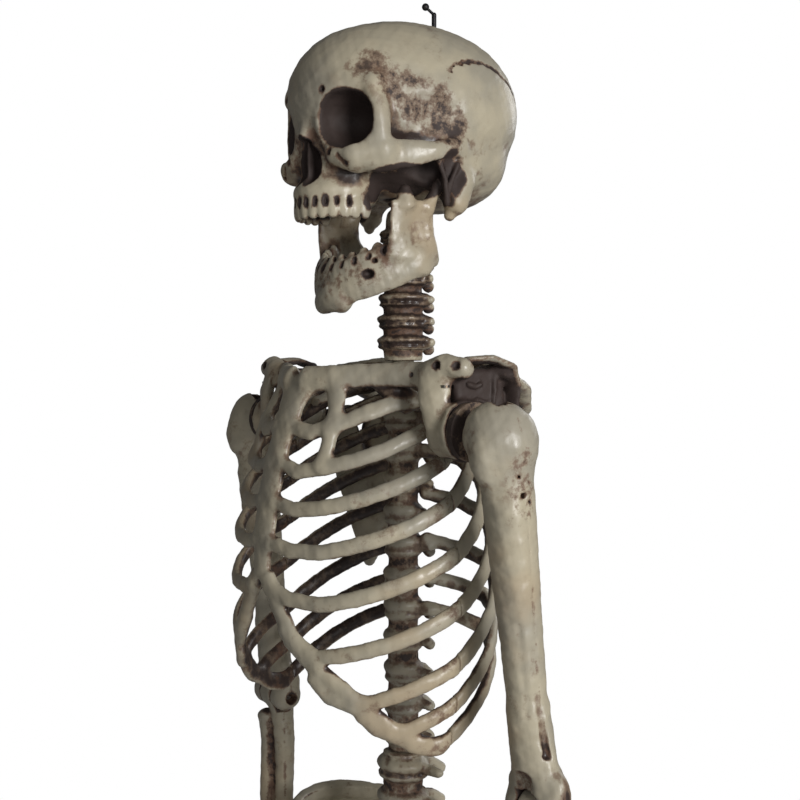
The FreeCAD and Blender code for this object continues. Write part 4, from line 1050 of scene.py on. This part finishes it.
def shin_field():
    top, foot = PIVOT["knee_bend_left"], PIVOT["ankle_bend_left"]
    field = Field((46, -34, 54), (112, 24, 462), 1.4)
    add, cut = field.add, field.cut
    add(tube(top + [(-1, 0, 0), (1, 0, 0)], 18.5), 1)
    add(slab(top + (0, -2, -20), (9, 12, 14), 3), 3)
    add(egg(top + (0, -2, -34), (27, 17.5, 11)), 4)
    add(tube([top + (0, -1, -44), top + (0, -3, -90), top + (-2, -2, -220), foot + (-2, 0, 66), foot + (0, 0, 24)],
             [19, 14, 11, 11, 14.5]), 8)
    add(tube(top + [(0, -14, -46), (-1, -15, -66), (-3, -11, -200)], [8, 6, 3]), 6)
    add(tube([top + (21, 7, -46), top + (20, 6, -130), top + (18, 4, -240), foot + (15, 2, 60), foot + (14, 0, 18)],
             [7.5, 5, 5, 6.4, 8]), 2)
    add(band([top + (10, 3, -80), foot + (7, 1, 44)], [11, 8], [2.4, 2.4], (0, 1, 0)), 2)
    field.stain(band([top + (12, 3, -80), foot + (8, 1, 44)], [4, 3], [12, 12], (0, 1, 0)), 0.8, 4)
    fork(field, foot, 12.5, 8.6, 19, 20)
    field.keep_inside(slab((top[0], top[1], (top[2] + foot[2]) / 2), (60, 60, 203), 1), 0.5)
    clear_cheeks(field, top, 22, 10.8)
    cut(tube(top + [(-30, 23, -15), (30, 23, -15)], 9.5), 2)
    hinge_gap(field, foot, 13, 8.6)
    field.seam(top[1])
    field.roughen(0.45, 24, 33)
    return field


def foot_field():
    ankle = PIVOT["ankle_bend_left"]
    field = Field(ankle + (-38, -152, -76), ankle + (40, 54, 16), 1.25)
    field.add(tube(ankle + [(-1, 0, 0), (1, 0, 0)], 12.3), 1)
    field.add(egg(ankle + (0, -4, -26), (14, 20, 11)), 4)
    field.add(tube(ankle + [(0, 6, -35), (1, 34, -57)], [13, 14.4]), 5)
    tarsals = ((-9, -32, 36, 13), (10, -30, 42, 12), (-14, -50, 44, 10), (-2, -50, 43, 9.5), (11, -48, 48, 10))
    for x, y, drop, size in tarsals:
        field.add(egg(ankle + (x, y, -drop), (size, size + 1, size)), 3)
    for number in range(5):
        spread = number - 1.8
        start = ankle + (-17 + 8.4 * number, -58 + 1.6 * number, -45 - 3 * number)
        way = unit((0.075 * spread, -1, -0.26 + 0.05 * number))
        big = 2.6 if number == 0 else 0.0
        for order, run in enumerate(((50, 24, 17), (50, 17, 12), (47, 15, 11), (44, 14, 10), (40, 12, 9))[number]):
            end = start + way * run
            thick = (4.8, 4.4, 4.2)[order] + big
            end[2] = max(end[2], thick + 1.2)
            way = unit(end - start)
            digit(field, start, end, way, (thick + 1.2, thick - 0.7, thick + 1), 1.5)
            start, way = end, unit((0.05 * spread, -1, -0.13))
    field.keep_inside(slab(ankle + (0, -49, -29.5), (60, 104, 42.5), 1), 0.5)
    clear_cheeks(field, ankle, 14.8, 7.6)
    field.roughen(0.4, 16, 34)
    return field


def build_limbs():
    pair("humerus", humerus_field(), "upper_arm", "humerus_front", "humerus_rear")
    pair("forearm", forearm_field(), "forearm", "forearm_front", "forearm_rear")
    pair("hand", hand_field(), "hand", "hand")
    bone("pelvis_skin", pelvis_field(), "pelvis", "pelvis")
    pair("femur", femur_field(), "thigh", "femur_front", "femur_rear")
    pair("shin", shin_field(), "shin", "shin_front", "shin_rear")
    pair("foot", foot_field(), "foot", "foot")


# -------- camera, light and floor

def build_studio():
    scene = bpy.context.scene
    turn, tilt = math.radians(55), math.radians(-1.54)     # round from the figure's front, and down
    distance, level = 900.0, 1273.0                        # from the neck's axis and above the soles
    spot = np.array([math.sin(turn) * distance, -math.cos(turn) * distance, level])
    side = np.array([math.cos(turn), math.sin(turn), 0])
    camera_data = bpy.data.cameras.new("camera")
    camera_data.lens = 55.1
    camera_data.sensor_width = 36
    camera = bpy.data.objects.new("camera", camera_data)
    aim = spot + np.array([-math.sin(turn), math.cos(turn), math.tan(tilt)]) - 0.0025 * side
    camera.location = row_point(spot)
    camera.rotation_euler = (Vector(row_point(aim)) - camera.location).to_track_quat("-Z", "Y").to_euler()
    camera_data.clip_start = 0.01
    scene.collection.objects.link(camera)
    scene.camera = camera

    corners, reach = 64, 2.1
    angles = [2 * math.pi * k / corners for k in range(corners)]
    edge = [(reach * math.cos(angle), reach * math.sin(angle), 0) for angle in angles]
    floor_mesh = bpy.data.meshes.new("floor")
    floor_mesh.from_pydata(edge, [], [tuple(range(corners))])
    floor = bpy.data.objects.new("floor", floor_mesh)
    floor.location.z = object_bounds()[0][2] - 0.001
    floor_material, tree, shader = node_tree("pale_floor")
    tree.links.new(mixed(tree, ramp(tree, noise(tree, 3), 0.3, 0.7), (0.8, 0.8, 0.8), (0.84, 0.84, 0.84)),
                   shader.inputs["Base Color"])
    shader.inputs["Roughness"].default_value = 0.9
    floor_mesh.materials.append(floor_material)
    scene.collection.objects.link(floor)

    world = bpy.data.worlds.new("studio")
    world.use_nodes = True
    nodes, links = world.node_tree.nodes, world.node_tree.links
    seen, lighting = nodes["Background"], nodes.new("ShaderNodeBackground")
    for background in (seen, lighting):
        background.inputs["Color"].default_value = (1, 1, 1, 1)
    lighting.inputs["Strength"].default_value = 0.1
    path, mix = nodes.new("ShaderNodeLightPath"), nodes.new("ShaderNodeMixShader")
    links.new(path.outputs["Is Camera Ray"], mix.inputs[0])
    links.new(lighting.outputs[0], mix.inputs[1])
    links.new(seen.outputs[0], mix.inputs[2])
    links.new(mix.outputs[0], nodes["World Output"].inputs["Surface"])
    scene.world = world
    centre = Vector(row_point((0, 0, 1250)))
    for name, offset, size, power in (("key", (1.9, -0.1, 0.25), 0.6, 31), ("fill", (1.6, -1.6, 0.3), 1.2, 5),
                                      ("rim", (-0.5, 2.2, 0.8), 1.0, 8)):
        light_data = bpy.data.lights.new(name, "AREA")
        light_data.size = size
        light_data.energy = power
        light = bpy.data.objects.new(name, light_data)
        light.location = centre + Vector(offset)
        light.rotation_euler = (-Vector(offset)).to_track_quat("-Z", "Y").to_euler()
        scene.collection.objects.link(light)
    scene.view_settings.view_transform = "Standard"


def dress_cad_nodes():
    """The metal pieces keep their CAD shape and get their own finish; any bone still shown gets the bone finish."""
    for name, node in frame["nodes"].items():
        finish = BONE
        for words, other in ((("hub",), SOAKED), (("pin", "screws"), STEEL), (("hook",), WIRE)):
            if any(word in name for word in words):
                finish = other
        node.data.materials.clear()
        node.data.materials.append(finish)


dress_cad_nodes()
build_head()
build_trunk()
build_limbs()
build_studio()
